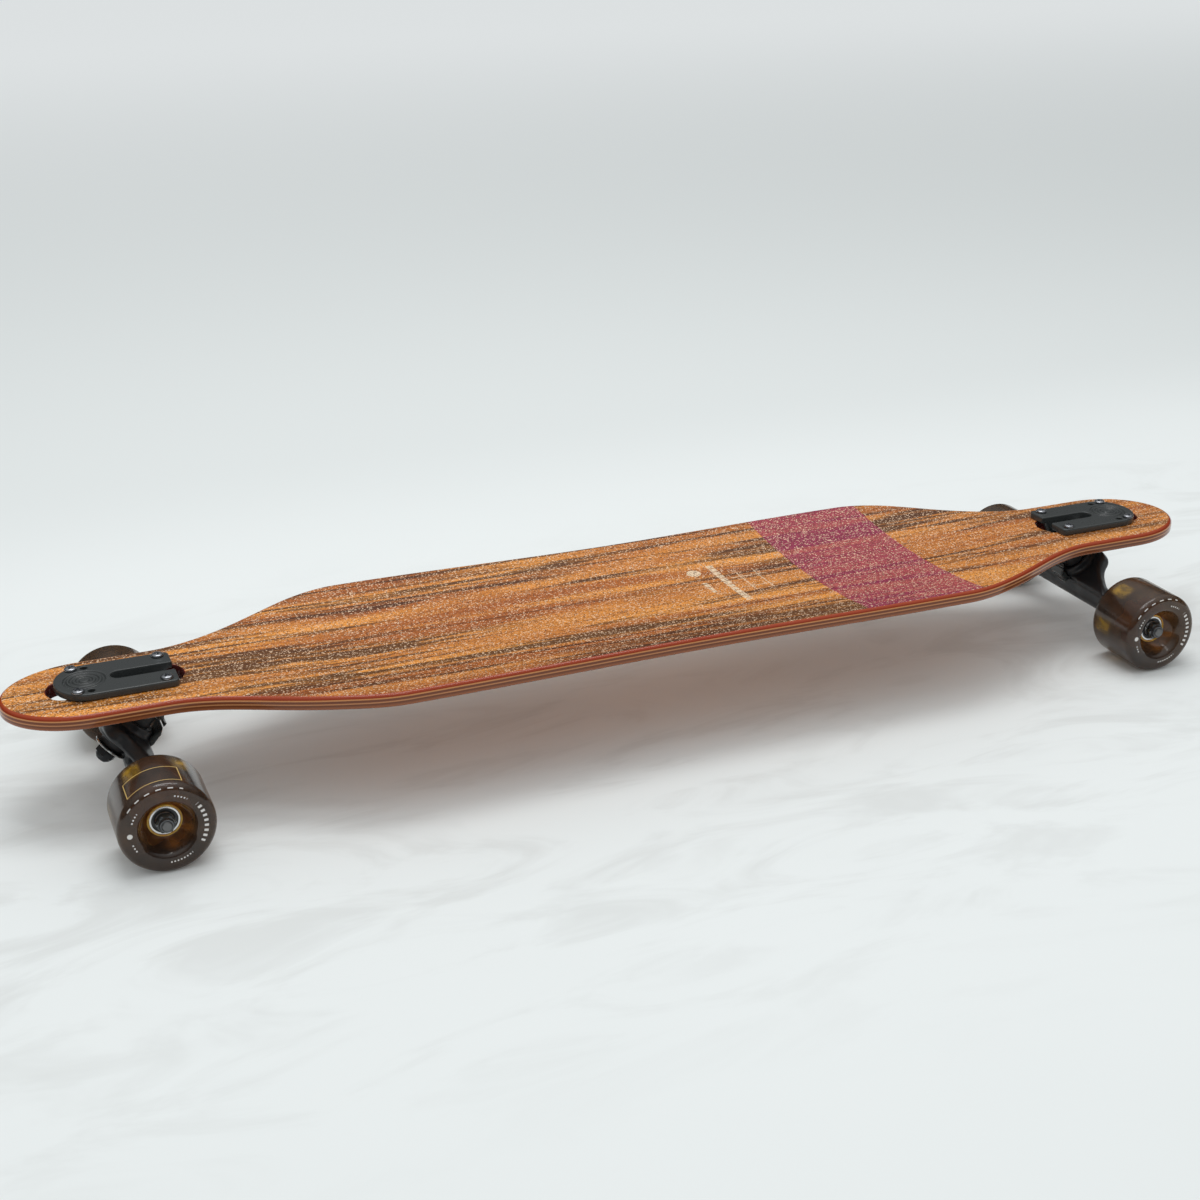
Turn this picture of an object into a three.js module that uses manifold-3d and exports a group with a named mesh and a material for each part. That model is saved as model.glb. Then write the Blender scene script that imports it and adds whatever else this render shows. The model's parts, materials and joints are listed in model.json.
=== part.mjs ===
// A drop-through longboard: a laminated deck carried on two reverse-kingpin trucks and four wheels.
// Millimetres. +X runs along the deck to its front end, +Y to the rider's left, +Z up.
// The origin is on the ground under the middle of the deck.
import * as THREE from "three";
import { mergeVertices } from "three/addons/utils/BufferGeometryUtils.js";
import Module from "manifold-3d";

const wasm = await Module();
wasm.setup();

// ---------------------------------------------------------------- driving dimensions

const GAP = 0.3; // running room between pieces that touch on the real object

const WHEEL = { radius: 34.5, width: 52, lip: 5.5, middle: 102.4, dish: 13.5 };
const AXLE_HEIGHT = WHEEL.radius;
const AXLE_OFFSET = 420; // each axle's distance from the middle of the deck

const DECK = {
  length: 1016,
  thickness: 11,
  top: 93, // height of the deck's top face where the trucks bolt on
  waist: 106.5, // half-widths: at the middle, at the widest place and at the necks
  widest: 111,
  neck: 49.5,
  widestAt: 220,
  taperFrom: 235, // the outline narrows to the necks between these two stations
  taperTo: 400,
  tipRadius: 56, // length of the elliptical ends
  rocker: 4, // the middle of the deck hangs this far below the truck ends
  concave: 8.6, // the rails stand this far above the middle line
};

// The mounting holes under each baseplate, and the deck's opening for the truck body.
const HOLES = { middle: 427.25, along: 63.5, across: 41.3, radius: 2.75 };
const OPENING = { from: 378, to: 482, halfWidth: 16, corner: 13 };

const PLATE = { inner: -40.25, outer: 46.75, halfWidth: 27, thickness: 6, round: 24 };
const SLOT = { end: 6, halfWidth: 6.5 };
const BODY_HALF_WIDTH = 14.8;

// Steering: the hanger turns about an axis through the pivot and the middle of its ring.
const STEER_SLOPE = (45 * Math.PI) / 180;
const RING = { x: -4.25, z: -35.6, radius: 16.5, half: 4.5, skirt: 16.5, hole: 8 };
const NOSE = { radius: 4.2, middle: -17, root: 6.3 };
const HOUSING = { radius: 7, from: -23.5, to: -17.1 };
const CUP = { bore: NOSE.radius + GAP, radius: 5.6, from: -22.3, to: HOUSING.to - GAP, floor: 0.8 };

const BUSHING = { radius: 12.5, boardside: 11.2, roadside: 17.2, bore: 5.2 };
const WASHER = { radius: 13, thickness: 1.5 };
const KINGPIN = { radius: 4.75, headRadius: 7.2, head: 6, seat: 9.5 };
const KINGPIN_NUT = { radius: 8.2, height: 9 };

const HANGER = { halfWidth: 89.3, radius: 9.4, shoulder: 80, endRadius: 8.5, droop: 4, straight: 15 };
const WEB = { atBeam: 58, atRing: 27, outer: 18.5, low: -13, high: -1 };
const AXLE = { radius: 3.9, halfLength: 125 };
const AXLE_NUT = { radius: 7.3, height: 8.3 };

const BEARING = { bore: 4.25, race: 6.2, radius: 11, width: 7, spacer: 5.3, washer: 5.6 };
const SPACER_HALF = 5 - GAP / 2;
const CORE = { hub: 15.5, lobe: 21.5, lobes: 6, halfWidth: 16, bore: 8 };

const BOLT = { radius: 2.4, headRadius: 4.7, head: 2.3, length: 27 };
const LOCKNUT = { radius: 5.4, height: 5 };

// ---------------------------------------------------------------- materials

const finish = (color, roughness, metalness = 0) =>
  new THREE.MeshStandardMaterial({ color, roughness, metalness });

const MATERIALS = {
  wood: finish(0xb5713a, 0.35),
  castBlack: finish(0x17191a, 0.55, 0.4),
  steel: finish(0xb9bcbe, 0.3, 1),
  darkSteel: finish(0x26282a, 0.4, 0.9),
  bushing: finish(0x1d1d1f, 0.6),
  cup: finish(0x2a2a2c, 0.7),
  urethane: finish(0x4a2b1c, 0.2),
  core: finish(0xc8811e, 0.3),
};

// ---------------------------------------------------------------- shape helpers

const TURN = 2 * Math.PI;

// Smooth step from 0 to 1.
function ease(t) {
  const u = Math.min(1, Math.max(0, t));
  return u * u * (3 - 2 * u);
}

// A solid of revolution about Z. The profile is [radius, z] pairs from the lower end to the upper.
function turned(profile, segments) {
  const points = profile.map(([r, z]) => new THREE.Vector2(r, z));
  return new THREE.LatheGeometry(points, segments).rotateX(Math.PI / 2);
}

// A plain round bar along Z.
function bar(radius, low, high, segments = 24) {
  return turned([[0, low], [radius, low], [radius, high], [0, high]], segments);
}

// A ring along Z: a closed profile round the axis.
function tube(inner, outer, low, high, segments = 24) {
  return turned([[inner, low], [outer, low], [outer, high], [inner, high], [inner, low]], segments);
}

function prism(shape, low, high, curveSegments = 8) {
  const options = { depth: high - low, bevelEnabled: false, curveSegments };
  return new THREE.ExtrudeGeometry(shape, options).translate(0, 0, low);
}

function polygon(corners) {
  return new THREE.Shape(corners.map(([x, y]) => new THREE.Vector2(x, y)));
}

function hexagon(radius) {
  return polygon([0, 1, 2, 3, 4, 5].map((i) => {
    const a = (i * TURN) / 6;
    return [radius * Math.cos(a), radius * Math.sin(a)];
  }));
}

// Stands a shape drawn in X and Z, and extruded along Z, upright: its depth then runs along Y.
function upright(geometry) {
  return geometry.rotateX(Math.PI / 2);
}

function solid(geometry) {
  const bare = geometry.clone();
  bare.deleteAttribute("normal");
  bare.deleteAttribute("uv");
  const merged = mergeVertices(bare, 1e-4);
  return new wasm.Manifold(new wasm.Mesh({
    numProp: 3,
    vertProperties: merged.attributes.position.array,
    triVerts: new Uint32Array(merged.index.array),
  }));
}

function geometryOf(made) {
  const mesh = made.getMesh();
  const positions = new Float32Array(mesh.numVert * 3);
  for (let i = 0; i < mesh.numVert; i++) {
    const from = i * mesh.numProp;
    positions.set(mesh.vertProperties.subarray(from, from + 3), i * 3);
  }
  const geometry = new THREE.BufferGeometry();
  geometry.setAttribute("position", new THREE.BufferAttribute(positions, 3));
  geometry.setIndex(new THREE.BufferAttribute(mesh.triVerts, 1));
  geometry.computeVertexNormals();
  return geometry;
}

// Joins the first list of geometries, then cuts the second list away.
function joinAndCut(joined, cuts = []) {
  const whole = joined.map(solid).reduce((a, b) => a.add(b));
  return geometryOf(cuts.map(solid).reduce((a, b) => a.subtract(b), whole));
}

function piece(name, geometry, material) {
  const mesh = new THREE.Mesh(geometry, material);
  mesh.name = name;
  return mesh;
}

// ---------------------------------------------------------------- deck

function halfWidth(x) {
  const a = Math.abs(x);
  const rail = DECK.waist + (DECK.widest - DECK.waist) * ease(a / DECK.widestAt);
  const taper = ease((DECK.taperTo - a) / (DECK.taperTo - DECK.taperFrom));
  const straight = DECK.neck + (rail - DECK.neck) * taper;
  const intoTip = Math.max(0, a - DECK.length / 2 + DECK.tipRadius) / DECK.tipRadius;
  return straight * Math.sqrt(1 - intoTip ** 2);
}

// Height of the top face: rocker along the board and a parabolic concave across it.
function deckTop(x, y) {
  const a = Math.abs(x);
  const drop = DECK.rocker * ease((385 - a) / 145);
  const rise = DECK.concave * ease((395 - a) / 125);
  return DECK.top - drop + rise * (y / 108) ** 2;
}

// The stations along the deck, closer together round the tips.
function station(t) {
  const tipStart = DECK.length / 2 - DECK.tipRadius;
  const TIP_SHARE = 0.3;
  const TIP_SWEEP = (83 * Math.PI) / 180; // short of a quarter turn, so that the end keeps some width
  const a = Math.abs(t);
  const intoTip = (a - 1 + TIP_SHARE) / TIP_SHARE;
  const x = intoTip <= 0
    ? (tipStart * a) / (1 - TIP_SHARE)
    : tipStart + DECK.tipRadius * Math.sin(intoTip * TIP_SWEEP);
  return Math.sign(t) * x;
}

function mountHoles() {
  const found = [];
  for (const end of [1, -1]) {
    for (const along of [1, -1]) {
      for (const side of [1, -1]) {
        found.push([end * (HOLES.middle + (along * HOLES.along) / 2), (side * HOLES.across) / 2]);
      }
    }
  }
  return found;
}

function roundedOpening({ from, to, halfWidth: w, corner: r }) {
  const s = new THREE.Shape();
  s.moveTo(from + r, -w);
  s.lineTo(to - r, -w);
  s.absarc(to - r, -w + r, r, -Math.PI / 2, 0);
  s.lineTo(to, w - r);
  s.absarc(to - r, w - r, r, 0, Math.PI / 2);
  s.lineTo(from + r, w);
  s.absarc(from + r, w - r, r, Math.PI / 2, Math.PI);
  s.lineTo(from, -w + r);
  s.absarc(from + r, -w + r, r, Math.PI, 1.5 * Math.PI);
  return s;
}

function makeDeck() {
  const LENGTHWISE = 40;
  const ACROSS = 6;
  const blank = new THREE.BoxGeometry(2, 2, 1, LENGTHWISE, ACROSS, 1);
  const p = blank.attributes.position;
  for (let i = 0; i < p.count; i++) {
    const x = station(p.getX(i));
    const y = p.getY(i) * halfWidth(x);
    const down = p.getZ(i) > 0 ? 0 : DECK.thickness;
    p.setXYZ(i, x, y, deckTop(x, y) - down);
  }
  const cuts = [];
  for (const end of [1, -1]) {
    const opening = prism(roundedOpening(OPENING), 50, 130, 5);
    cuts.push(end > 0 ? opening : opening.rotateZ(Math.PI));
  }
  for (const [x, y] of mountHoles()) {
    cuts.push(bar(HOLES.radius, 50, 130, 10).translate(x, y, 0));
  }
  return piece("deck", joinAndCut([blank], cuts), MATERIALS.wood);
}

// ---------------------------------------------------------------- truck: held pieces

// A point of the steering frame (along the steering axis, up the kingpin) in the truck's X and Z.
function fromSteering(s, up) {
  const c = Math.cos(STEER_SLOPE);
  const d = Math.sin(STEER_SLOPE);
  return [RING.x + s * c - up * d, RING.z + s * d + up * c];
}

// Distances along the kingpin from the steering axis: up to the baseplate's angled face, and down to the nut.
const SEAT = RING.half + BUSHING.boardside + WASHER.thickness + 3 * GAP;
const NUT_FACE = RING.half + BUSHING.roadside + WASHER.thickness + 3 * GAP;

function plateOutline() {
  const { inner, outer, halfWidth: w, round } = PLATE;
  const CORNER = 4;
  const s = new THREE.Shape();
  s.moveTo(inner + CORNER, -w);
  s.lineTo(outer - round, -w);
  s.absellipse(outer - round, 0, round, w, -Math.PI / 2, Math.PI / 2);
  s.lineTo(inner + CORNER, w);
  s.absarc(inner + CORNER, w - CORNER, CORNER, Math.PI / 2, Math.PI);
  s.lineTo(inner, -w + CORNER);
  s.absarc(inner + CORNER, -w + CORNER, CORNER, Math.PI, 1.5 * Math.PI);
  return s;
}

// The slot, open at the plate's inner end, that lets the kingpin in.
function slotOutline() {
  const w = SLOT.halfWidth;
  const s = new THREE.Shape();
  s.moveTo(PLATE.inner - 5, -w);
  s.lineTo(SLOT.end - w, -w);
  s.absarc(SLOT.end - w, 0, w, -Math.PI / 2, Math.PI / 2);
  s.lineTo(PLATE.inner - 5, w);
  return s;
}

function makeBaseplate(prefix) {
  const plate = prism(plateOutline(), GAP, PLATE.thickness, 12);
  const back = PLATE.inner + 3; // the post leans outwards from here down to the pivot's housing
  const profile = polygon([
    [back, 1],
    [back, -6],
    fromSteering(HOUSING.from, HOUSING.radius),
    fromSteering(HOUSING.from, -HOUSING.radius),
    fromSteering(HOUSING.to, -HOUSING.radius),
    fromSteering(HOUSING.to, SEAT),
    fromSteering(26, SEAT),
    [12, 1],
  ]);
  const body = upright(prism(profile, -BODY_HALF_WIDTH, BODY_HALF_WIDTH));
  const [ringX, ringZ] = [RING.x, RING.z];
  const alongKingpin = (g) => g.rotateY(-STEER_SLOPE).translate(ringX, 0, ringZ);
  const alongAxis = (g) => g.rotateY(Math.PI / 2 - STEER_SLOPE).translate(ringX, 0, ringZ);
  // the pivot housing is round: these cuts leave a half tube on each side of the steering axis
  const collar = tube(HOUSING.radius, 40, HOUSING.from - 10, HOUSING.to + 1, 28);
  const below = new THREE.BoxGeometry(60, 60, 60).rotateY(-STEER_SLOPE);
  const [belowX, belowZ] = fromSteering(HOUSING.from, -30);
  const roundOff = solid(alongAxis(collar)).intersect(solid(below.translate(belowX, 0, belowZ)));
  const cuts = [
    prism(slotOutline(), -4, PLATE.thickness + 5),
    // the pocket for the kingpin's head, open towards the inner end, and the kingpin's own hole
    alongKingpin(bar(KINGPIN.headRadius + GAP, SEAT + KINGPIN.seat, SEAT + 40, 20)),
    alongKingpin(bar(KINGPIN.radius + GAP, 0, SEAT + 20, 16)),
    alongAxis(bar(CUP.radius + GAP, CUP.from - GAP, CUP.to + 10, 20)),
    geometryOf(roundOff),
  ];
  const spare = HOLES.along / 2 - 9.5; // the second hole pattern is 9.5 mm shorter
  for (const side of [1, -1]) {
    for (const x of [HOLES.along / 2, -HOLES.along / 2, spare]) {
      const y = (side * HOLES.across) / 2;
      cuts.push(bar(HOLES.radius, -2, PLATE.thickness + 2, 10).translate(x, y, 0));
    }
  }
  return piece(`${prefix}_baseplate`, joinAndCut([plate, body], cuts), MATERIALS.castBlack);
}

function makeMountBolts(prefix) {
  const made = [];
  for (const [place, along] of [["outer", 1], ["inner", -1]]) {
    for (const [hand, side] of [["a", 1], ["b", -1]]) {
      const x = (along * HOLES.along) / 2;
      const y = (side * HOLES.across) / 2;
      const top = PLATE.thickness + GAP;
      const bolt = turned([
        [0, top - BOLT.length],
        [BOLT.radius, top - BOLT.length],
        [BOLT.radius, top],
        [BOLT.headRadius, top],
        [BOLT.headRadius * 0.9, top + BOLT.head * 0.6],
        [BOLT.headRadius * 0.55, top + BOLT.head],
        [0, top + BOLT.head],
      ], 12);
      const recess = new THREE.BoxGeometry(1, 5, 2.4).translate(0, 0, top + BOLT.head);
      const cross = recess.clone().rotateZ(Math.PI / 2);
      const head = joinAndCut([bolt], [recess, cross]).translate(x, y, 0);
      made.push(piece(`${prefix}_${place}_bolt_${hand}`, head, MATERIALS.darkSteel));

      const under = -DECK.thickness - GAP;
      const nut = joinAndCut(
        [prism(hexagon(LOCKNUT.radius), under - LOCKNUT.height, under)],
        [bar(BOLT.radius + GAP, -40, 0, 8)],
      ).translate(x, y, 0);
      made.push(piece(`${prefix}_${place}_locknut_${hand}`, nut, MATERIALS.darkSteel));
    }
  }
  return made;
}

// Everything threaded on the kingpin, in the steering frame: Z runs up the kingpin.
function makeKingpinStack(prefix) {
  const nutTop = -NUT_FACE;
  const nutLow = nutTop - KINGPIN_NUT.height;
  const headLow = SEAT + KINGPIN.seat + GAP;
  const pin = joinAndCut([
    bar(KINGPIN.radius, nutLow - 1.5, headLow + 1, 20),
    prism(hexagon(KINGPIN.headRadius), headLow, headLow + KINGPIN.head),
  ]);
  const nut = joinAndCut(
    [prism(hexagon(KINGPIN_NUT.radius), nutLow, nutTop)],
    [bar(KINGPIN.radius + GAP, nutLow - 5, nutTop + 5, 16)],
  );
  const washerAt = (face) => turned([
    [KINGPIN.radius + GAP, face],
    [WASHER.radius, face],
    [WASHER.radius, face + WASHER.thickness - 0.3],
    [WASHER.radius - 2, face + WASHER.thickness],
    [KINGPIN.radius + GAP, face + WASHER.thickness],
    [KINGPIN.radius + GAP, face],
  ], 20);
  const barrel = turned([
    [BUSHING.bore, RING.half + GAP],
    [BUSHING.radius, RING.half + GAP],
    [BUSHING.radius, RING.half + GAP + BUSHING.boardside],
    [BUSHING.bore, RING.half + GAP + BUSHING.boardside],
    [BUSHING.bore, RING.half + GAP],
  ], 24);
  const cone = turned([
    [BUSHING.bore, -RING.half - GAP - BUSHING.roadside],
    [BUSHING.radius * 0.8, -RING.half - GAP - BUSHING.roadside],
    [BUSHING.radius, -RING.half - GAP - 2],
    [BUSHING.radius, -RING.half - GAP],
    [BUSHING.bore, -RING.half - GAP],
    [BUSHING.bore, -RING.half - GAP - BUSHING.roadside],
  ], 24);
  const boardside = RING.half + BUSHING.boardside + 2 * GAP;
  const roadside = -RING.half - BUSHING.roadside - 2 * GAP;
  return [
    piece(`${prefix}_kingpin`, pin, MATERIALS.darkSteel),
    piece(`${prefix}_kingpin_nut`, nut, MATERIALS.darkSteel),
    piece(`${prefix}_boardside_washer`, washerAt(boardside), MATERIALS.steel),
    piece(`${prefix}_roadside_washer`, washerAt(roadside - WASHER.thickness), MATERIALS.steel),
    piece(`${prefix}_boardside_bushing`, barrel, MATERIALS.bushing),
    piece(`${prefix}_roadside_bushing`, cone, MATERIALS.bushing),
  ];
}

// A closed cup round the pivot nose. Its axis is the steering axis.
function makePivotCup(prefix) {
  const cup = turned([
    [0, CUP.from],
    [CUP.radius, CUP.from],
    [CUP.radius, CUP.to],
    [CUP.bore, CUP.to],
    [CUP.bore, CUP.from + CUP.floor + 3],
    [CUP.bore * 0.6, CUP.from + CUP.floor],
    [0, CUP.from + CUP.floor],
  ], 20).rotateY(Math.PI / 2);
  return piece(`${prefix}_pivot_cup`, cup, MATERIALS.cup);
}

// ---------------------------------------------------------------- truck: hanger and axle

// The axle's place in the steering frame.
const toAxleX = AXLE_OFFSET - HOLES.middle - RING.x;
const toAxleZ = AXLE_HEIGHT - DECK.top - RING.z;
const AXLE_AT = {
  s: toAxleX * Math.cos(STEER_SLOPE) + toAxleZ * Math.sin(STEER_SLOPE),
  up: -toAxleX * Math.sin(STEER_SLOPE) + toAxleZ * Math.cos(STEER_SLOPE),
};

// The web between the beam and the ring, seen down the kingpin: widest where it meets the beam.
function webOutline() {
  const { atBeam, atRing, outer } = WEB;
  const s = new THREE.Shape();
  s.moveTo(AXLE_AT.s, -atBeam);
  s.bezierCurveTo(-8, -atBeam + 6, -4, -atRing - 4, 8, -atRing);
  s.quadraticCurveTo(outer, -atRing + 2, outer, -10);
  s.lineTo(outer, 10);
  s.quadraticCurveTo(outer, atRing - 2, 8, atRing);
  s.bezierCurveTo(-4, atRing + 4, -8, atBeam - 6, AXLE_AT.s, atBeam);
  return s;
}

// The beam is in line with the axle at its ends and droops away from the pivot in the middle.
function makeBeam() {
  const { halfWidth: w, radius: r, shoulder, endRadius, droop, straight } = HANGER;
  const disc = (radius, y, drop) => solid(
    bar(radius, -0.1, 0.1, 24).rotateX(Math.PI / 2).translate(AXLE_AT.s + drop * 0.2, y, AXLE_AT.up - drop),
  );
  const stations = [
    disc(endRadius, -w + 0.1, 0),
    disc(r, -shoulder, 0),
    disc(r, -straight, droop),
    disc(r, straight, droop),
    disc(r, shoulder, 0),
    disc(endRadius, w - 0.1, 0),
  ];
  return stations.slice(1).map((next, i) => wasm.Manifold.hull([stations[i], next]));
}

function makeHanger(prefix) {
  const alongS = (g) => g.rotateY(Math.PI / 2);
  const nose = turned([
    [0, NOSE.middle - NOSE.radius],
    [NOSE.radius * 0.7, NOSE.middle - NOSE.radius * 0.7],
    [NOSE.radius, NOSE.middle],
    [NOSE.radius, HOUSING.to + 0.3],
    [NOSE.root, HOUSING.to + 1],
    [NOSE.root, -14],
    [0, -14],
  ], 20);
  // room for the roadside washer, which tips with the deck while the hanger steers
  const sweep = solid(alongS(tube(NUT_FACE - 2.9, 38, -WASHER.radius - 1.2, 30)))
    .intersect(solid(new THREE.BoxGeometry(60, 44, 40).translate(0, 0, -36)));
  // room for the pivot's housing and for the post above it
  const clear = HOUSING.to + 0.4;
  const housing = alongS(bar(HOUSING.radius + 0.6, -60, clear, 28));
  const post = new THREE.BoxGeometry(40, 2 * BODY_HALF_WIDTH + 5, 40).translate(clear - 20, 0, 20 - 4.6);
  const boardFace = RING.half + 1.5; // a shallow rim locates the boardside bushing
  const joined = [
    ...makeBeam(),
    solid(prism(webOutline(), WEB.low, WEB.high, 8)),
    solid(bar(RING.radius, -RING.skirt, boardFace, 28)),
  ];
  const alongAxle = bar(AXLE.radius + GAP, -HANGER.halfWidth - 5, HANGER.halfWidth + 5, 16)
    .rotateX(Math.PI / 2)
    .translate(AXLE_AT.s, 0, AXLE_AT.up);
  const cuts = [
    bar(RING.hole, -30, 20, 20),
    bar(BUSHING.radius + 1, RING.half, 20, 24),
    bar(BUSHING.radius + 0.5, -60, -RING.half, 24),
    geometryOf(sweep),
    housing,
    post,
    alongAxle,
  ];
  const body = joined.reduce((a, b) => a.add(b));
  const cut = cuts.map(solid).reduce((a, b) => a.subtract(b), body);
  return piece(`${prefix}_hanger`, geometryOf(cut.add(solid(alongS(nose)))), MATERIALS.castBlack);
}

function makeAxle(prefix) {
  const rod = bar(AXLE.radius, -AXLE.halfLength, AXLE.halfLength, 16)
    .rotateX(Math.PI / 2)
    .translate(AXLE_AT.s, 0, AXLE_AT.up);
  return piece(`${prefix}_axle`, rod, MATERIALS.steel);
}

// ---------------------------------------------------------------- wheels

// The core's outline: a hub with rounded lobes that key it into the urethane.
function coreOutline(grow) {
  const STEPS = 30;
  const corners = [];
  for (let i = 0; i < STEPS; i++) {
    const a = (i * TURN) / STEPS;
    const wave = 0.5 + 0.5 * Math.cos(CORE.lobes * a);
    const r = CORE.hub + grow + (CORE.lobe - CORE.hub) * wave;
    corners.push([r * Math.cos(a), r * Math.sin(a)]);
  }
  return polygon(corners);
}

// The tyre and its core, with the wheel's axis along Z and the outer face at +Z.
function makeTyre(name) {
  const { radius: R, width, lip, dish } = WHEEL;
  const h = width / 2;
  const open = 19;
  const corner = lip * (1 - Math.SQRT1_2);
  const floor = h - dish;
  const profile = [
    [0, -floor],
    [open - 4, -floor],
    [open + 1, -h + 2],
    [open + 4, -h],
    [R - lip, -h],
    [R - corner, -h + corner],
    [R, -h + lip],
    [R, h - lip],
    [R - corner, h - corner],
    [R - lip, h],
    [open + 4, h],
    [open + 1, h - 2],
    [open - 4, floor],
    [0, floor],
  ];
  const cuts = [
    prism(coreOutline(GAP), -CORE.halfWidth, CORE.halfWidth),
    bar(BEARING.radius + 1.5, -h, h, 20),
  ];
  return piece(name, joinAndCut([turned(profile, 32)], cuts), MATERIALS.urethane);
}

function makeCore(name) {
  const seatDepth = BEARING.width + SPACER_HALF + GAP / 2 - 5;
  const face = 12; // half the distance over the two bearings
  const cuts = [
    bar(CORE.bore, -30, 30, 16),
    bar(BEARING.radius + GAP, face - seatDepth, 30, 16),
    bar(BEARING.radius + GAP, -30, -face + seatDepth, 16),
  ];
  const body = prism(coreOutline(0), -CORE.halfWidth + GAP, CORE.halfWidth - GAP);
  return piece(name, joinAndCut([body], cuts), MATERIALS.core);
}

// A shielded bearing whose inner race carries half of the spacer and the washer against the nut.
// Z points out of the wheel and 0 is the wheel's middle.
function makeBearing(name) {
  const b = BEARING;
  const low = 5 + GAP / 2;
  const high = low + b.width;
  const SHIELD = 0.4;
  const ring = turned([
    [b.bore, low - SPACER_HALF],
    [b.spacer, low - SPACER_HALF],
    [b.spacer, low],
    [b.radius, low],
    [b.radius, high],
    [b.radius - 1.8, high],
    [b.race + 1, high - SHIELD],
    [b.race, high],
    [b.washer, high + 0.6],
    [b.bore, high + 0.6],
    [b.bore, low - SPACER_HALF],
  ], 16);
  return piece(name, ring, MATERIALS.steel);
}

function makeAxleNut(name) {
  const low = BEARING.width + 5 + GAP / 2 + 0.6 + GAP;
  const nut = joinAndCut(
    [prism(hexagon(AXLE_NUT.radius), low, low + AXLE_NUT.height)],
    [bar(AXLE.radius + GAP, 0, 40, 16)],
  );
  return piece(name, nut, MATERIALS.darkSteel);
}

function makeWheel(prefix) {
  const wheel = new THREE.Group();
  const inner = makeBearing(`${prefix}_inner_bearing`);
  inner.rotation.x = Math.PI;
  wheel.add(
    makeTyre(`${prefix}_tyre`),
    makeCore(`${prefix}_core`),
    makeBearing(`${prefix}_outer_bearing`),
    inner,
    makeAxleNut(`${prefix}_axle_nut`),
  );
  return wheel;
}

// ---------------------------------------------------------------- assembly

// One truck with its wheels. X points to the deck's nearer tip, and Z is 0 at the deck's top face.
function makeTruck(prefix, facing) {
  const truck = new THREE.Group();
  truck.add(makeBaseplate(prefix), ...makeMountBolts(prefix));
  const steering = new THREE.Group();
  steering.position.set(RING.x, 0, RING.z);
  steering.rotation.y = -STEER_SLOPE;
  steering.add(
    ...makeKingpinStack(prefix),
    makePivotCup(prefix),
    makeHanger(prefix),
    makeAxle(prefix),
  );
  truck.add(steering);
  for (const side of [1, -1]) {
    const hand = side * facing > 0 ? "left" : "right";
    const wheel = makeWheel(`${prefix}_${hand}`);
    wheel.position.set(AXLE_OFFSET - HOLES.middle, side * WHEEL.middle, AXLE_HEIGHT - DECK.top);
    wheel.rotation.x = (-side * Math.PI) / 2;
    truck.add(wheel);
  }
  truck.position.set(facing * HOLES.middle, 0, DECK.top);
  truck.rotation.z = facing > 0 ? 0 : Math.PI;
  return truck;
}

const longboard = new THREE.Group();
longboard.add(makeDeck(), makeTruck("front", 1), makeTruck("rear", -1));

export default longboard;
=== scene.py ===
"""The looks of a drop-through longboard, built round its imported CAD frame.

Shapes are worked out in millimetres and turned into metres as each mesh is made.
"""

import json
import math

import bmesh
import bpy
import numpy as np
from mathutils import Matrix, Vector, geometry


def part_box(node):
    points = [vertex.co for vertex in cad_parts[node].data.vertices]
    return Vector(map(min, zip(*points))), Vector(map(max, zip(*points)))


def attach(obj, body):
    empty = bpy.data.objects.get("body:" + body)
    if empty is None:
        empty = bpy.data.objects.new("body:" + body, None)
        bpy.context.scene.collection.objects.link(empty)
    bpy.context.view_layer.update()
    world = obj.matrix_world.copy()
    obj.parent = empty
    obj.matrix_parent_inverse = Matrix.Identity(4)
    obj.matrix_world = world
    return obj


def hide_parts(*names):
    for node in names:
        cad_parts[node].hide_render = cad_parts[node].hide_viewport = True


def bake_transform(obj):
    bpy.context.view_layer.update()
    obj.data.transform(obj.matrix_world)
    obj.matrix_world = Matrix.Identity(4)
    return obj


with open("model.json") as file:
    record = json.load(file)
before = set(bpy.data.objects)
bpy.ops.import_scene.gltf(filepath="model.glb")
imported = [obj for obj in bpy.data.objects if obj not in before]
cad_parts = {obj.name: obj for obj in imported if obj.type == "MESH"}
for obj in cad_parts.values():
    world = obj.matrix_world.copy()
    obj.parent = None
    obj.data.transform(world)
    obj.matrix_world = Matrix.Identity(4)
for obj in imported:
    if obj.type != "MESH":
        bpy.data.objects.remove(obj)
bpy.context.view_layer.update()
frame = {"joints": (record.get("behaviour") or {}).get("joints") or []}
JOINTS = {j["name"]: j for j in frame["joints"]}
MM = 0.001
GAP = 0.3

# ---------------- dimensions, in millimetres

TIP_REACH = 6.0  # how far the visible tips run past the solid's
DECK_HALF_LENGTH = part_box("deck")[1].x / MM + TIP_REACH
DECK_THICKNESS = 11.0
DECK_TOP = 93.0
WAIST, WIDEST, NECK = 106.5, 111.0, 49.5
WIDEST_AT, TAPER_FROM, TAPER_TO = 220.0, 235.0, 400.0
TIP = 62.0
ROCKER, ROCKER_FROM, ROCKER_TO = 4.0, 240.0, 385.0
CONCAVE, CONCAVE_FROM, CONCAVE_TO, CONCAVE_AT = 8.6, 270.0, 395.0, 108.0
TOP_ROUND, BOTTOM_ROUND = 4.2, 2.4
OPENING = {"from": 380.5, "to": 479.5, "half": 16.0, "corner": 13.0}
HOLE_MIDDLE, HOLE_ALONG, HOLE_ACROSS, HOLE_RADIUS = 427.25, 63.5, 41.3, 2.75

PLATE_INNER, PLATE_OUTER, PLATE_HALF = -40.25, 46.75, 27.0
PLATE_THICKNESS, PLATE_ROUND, PLATE_CORNER = 6.0, 24.0, 4.0
SLOT_END, SLOT_HALF = 6.0, 6.5
BODY_HALF = 14.8
SPARE_HOLES = 9.5  # the second, shorter hole pattern
GROOVES, GROOVE_SIZE = (5.0, 9.5, 14.0), 1.35  # plain rings in the flange's rounded end

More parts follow.
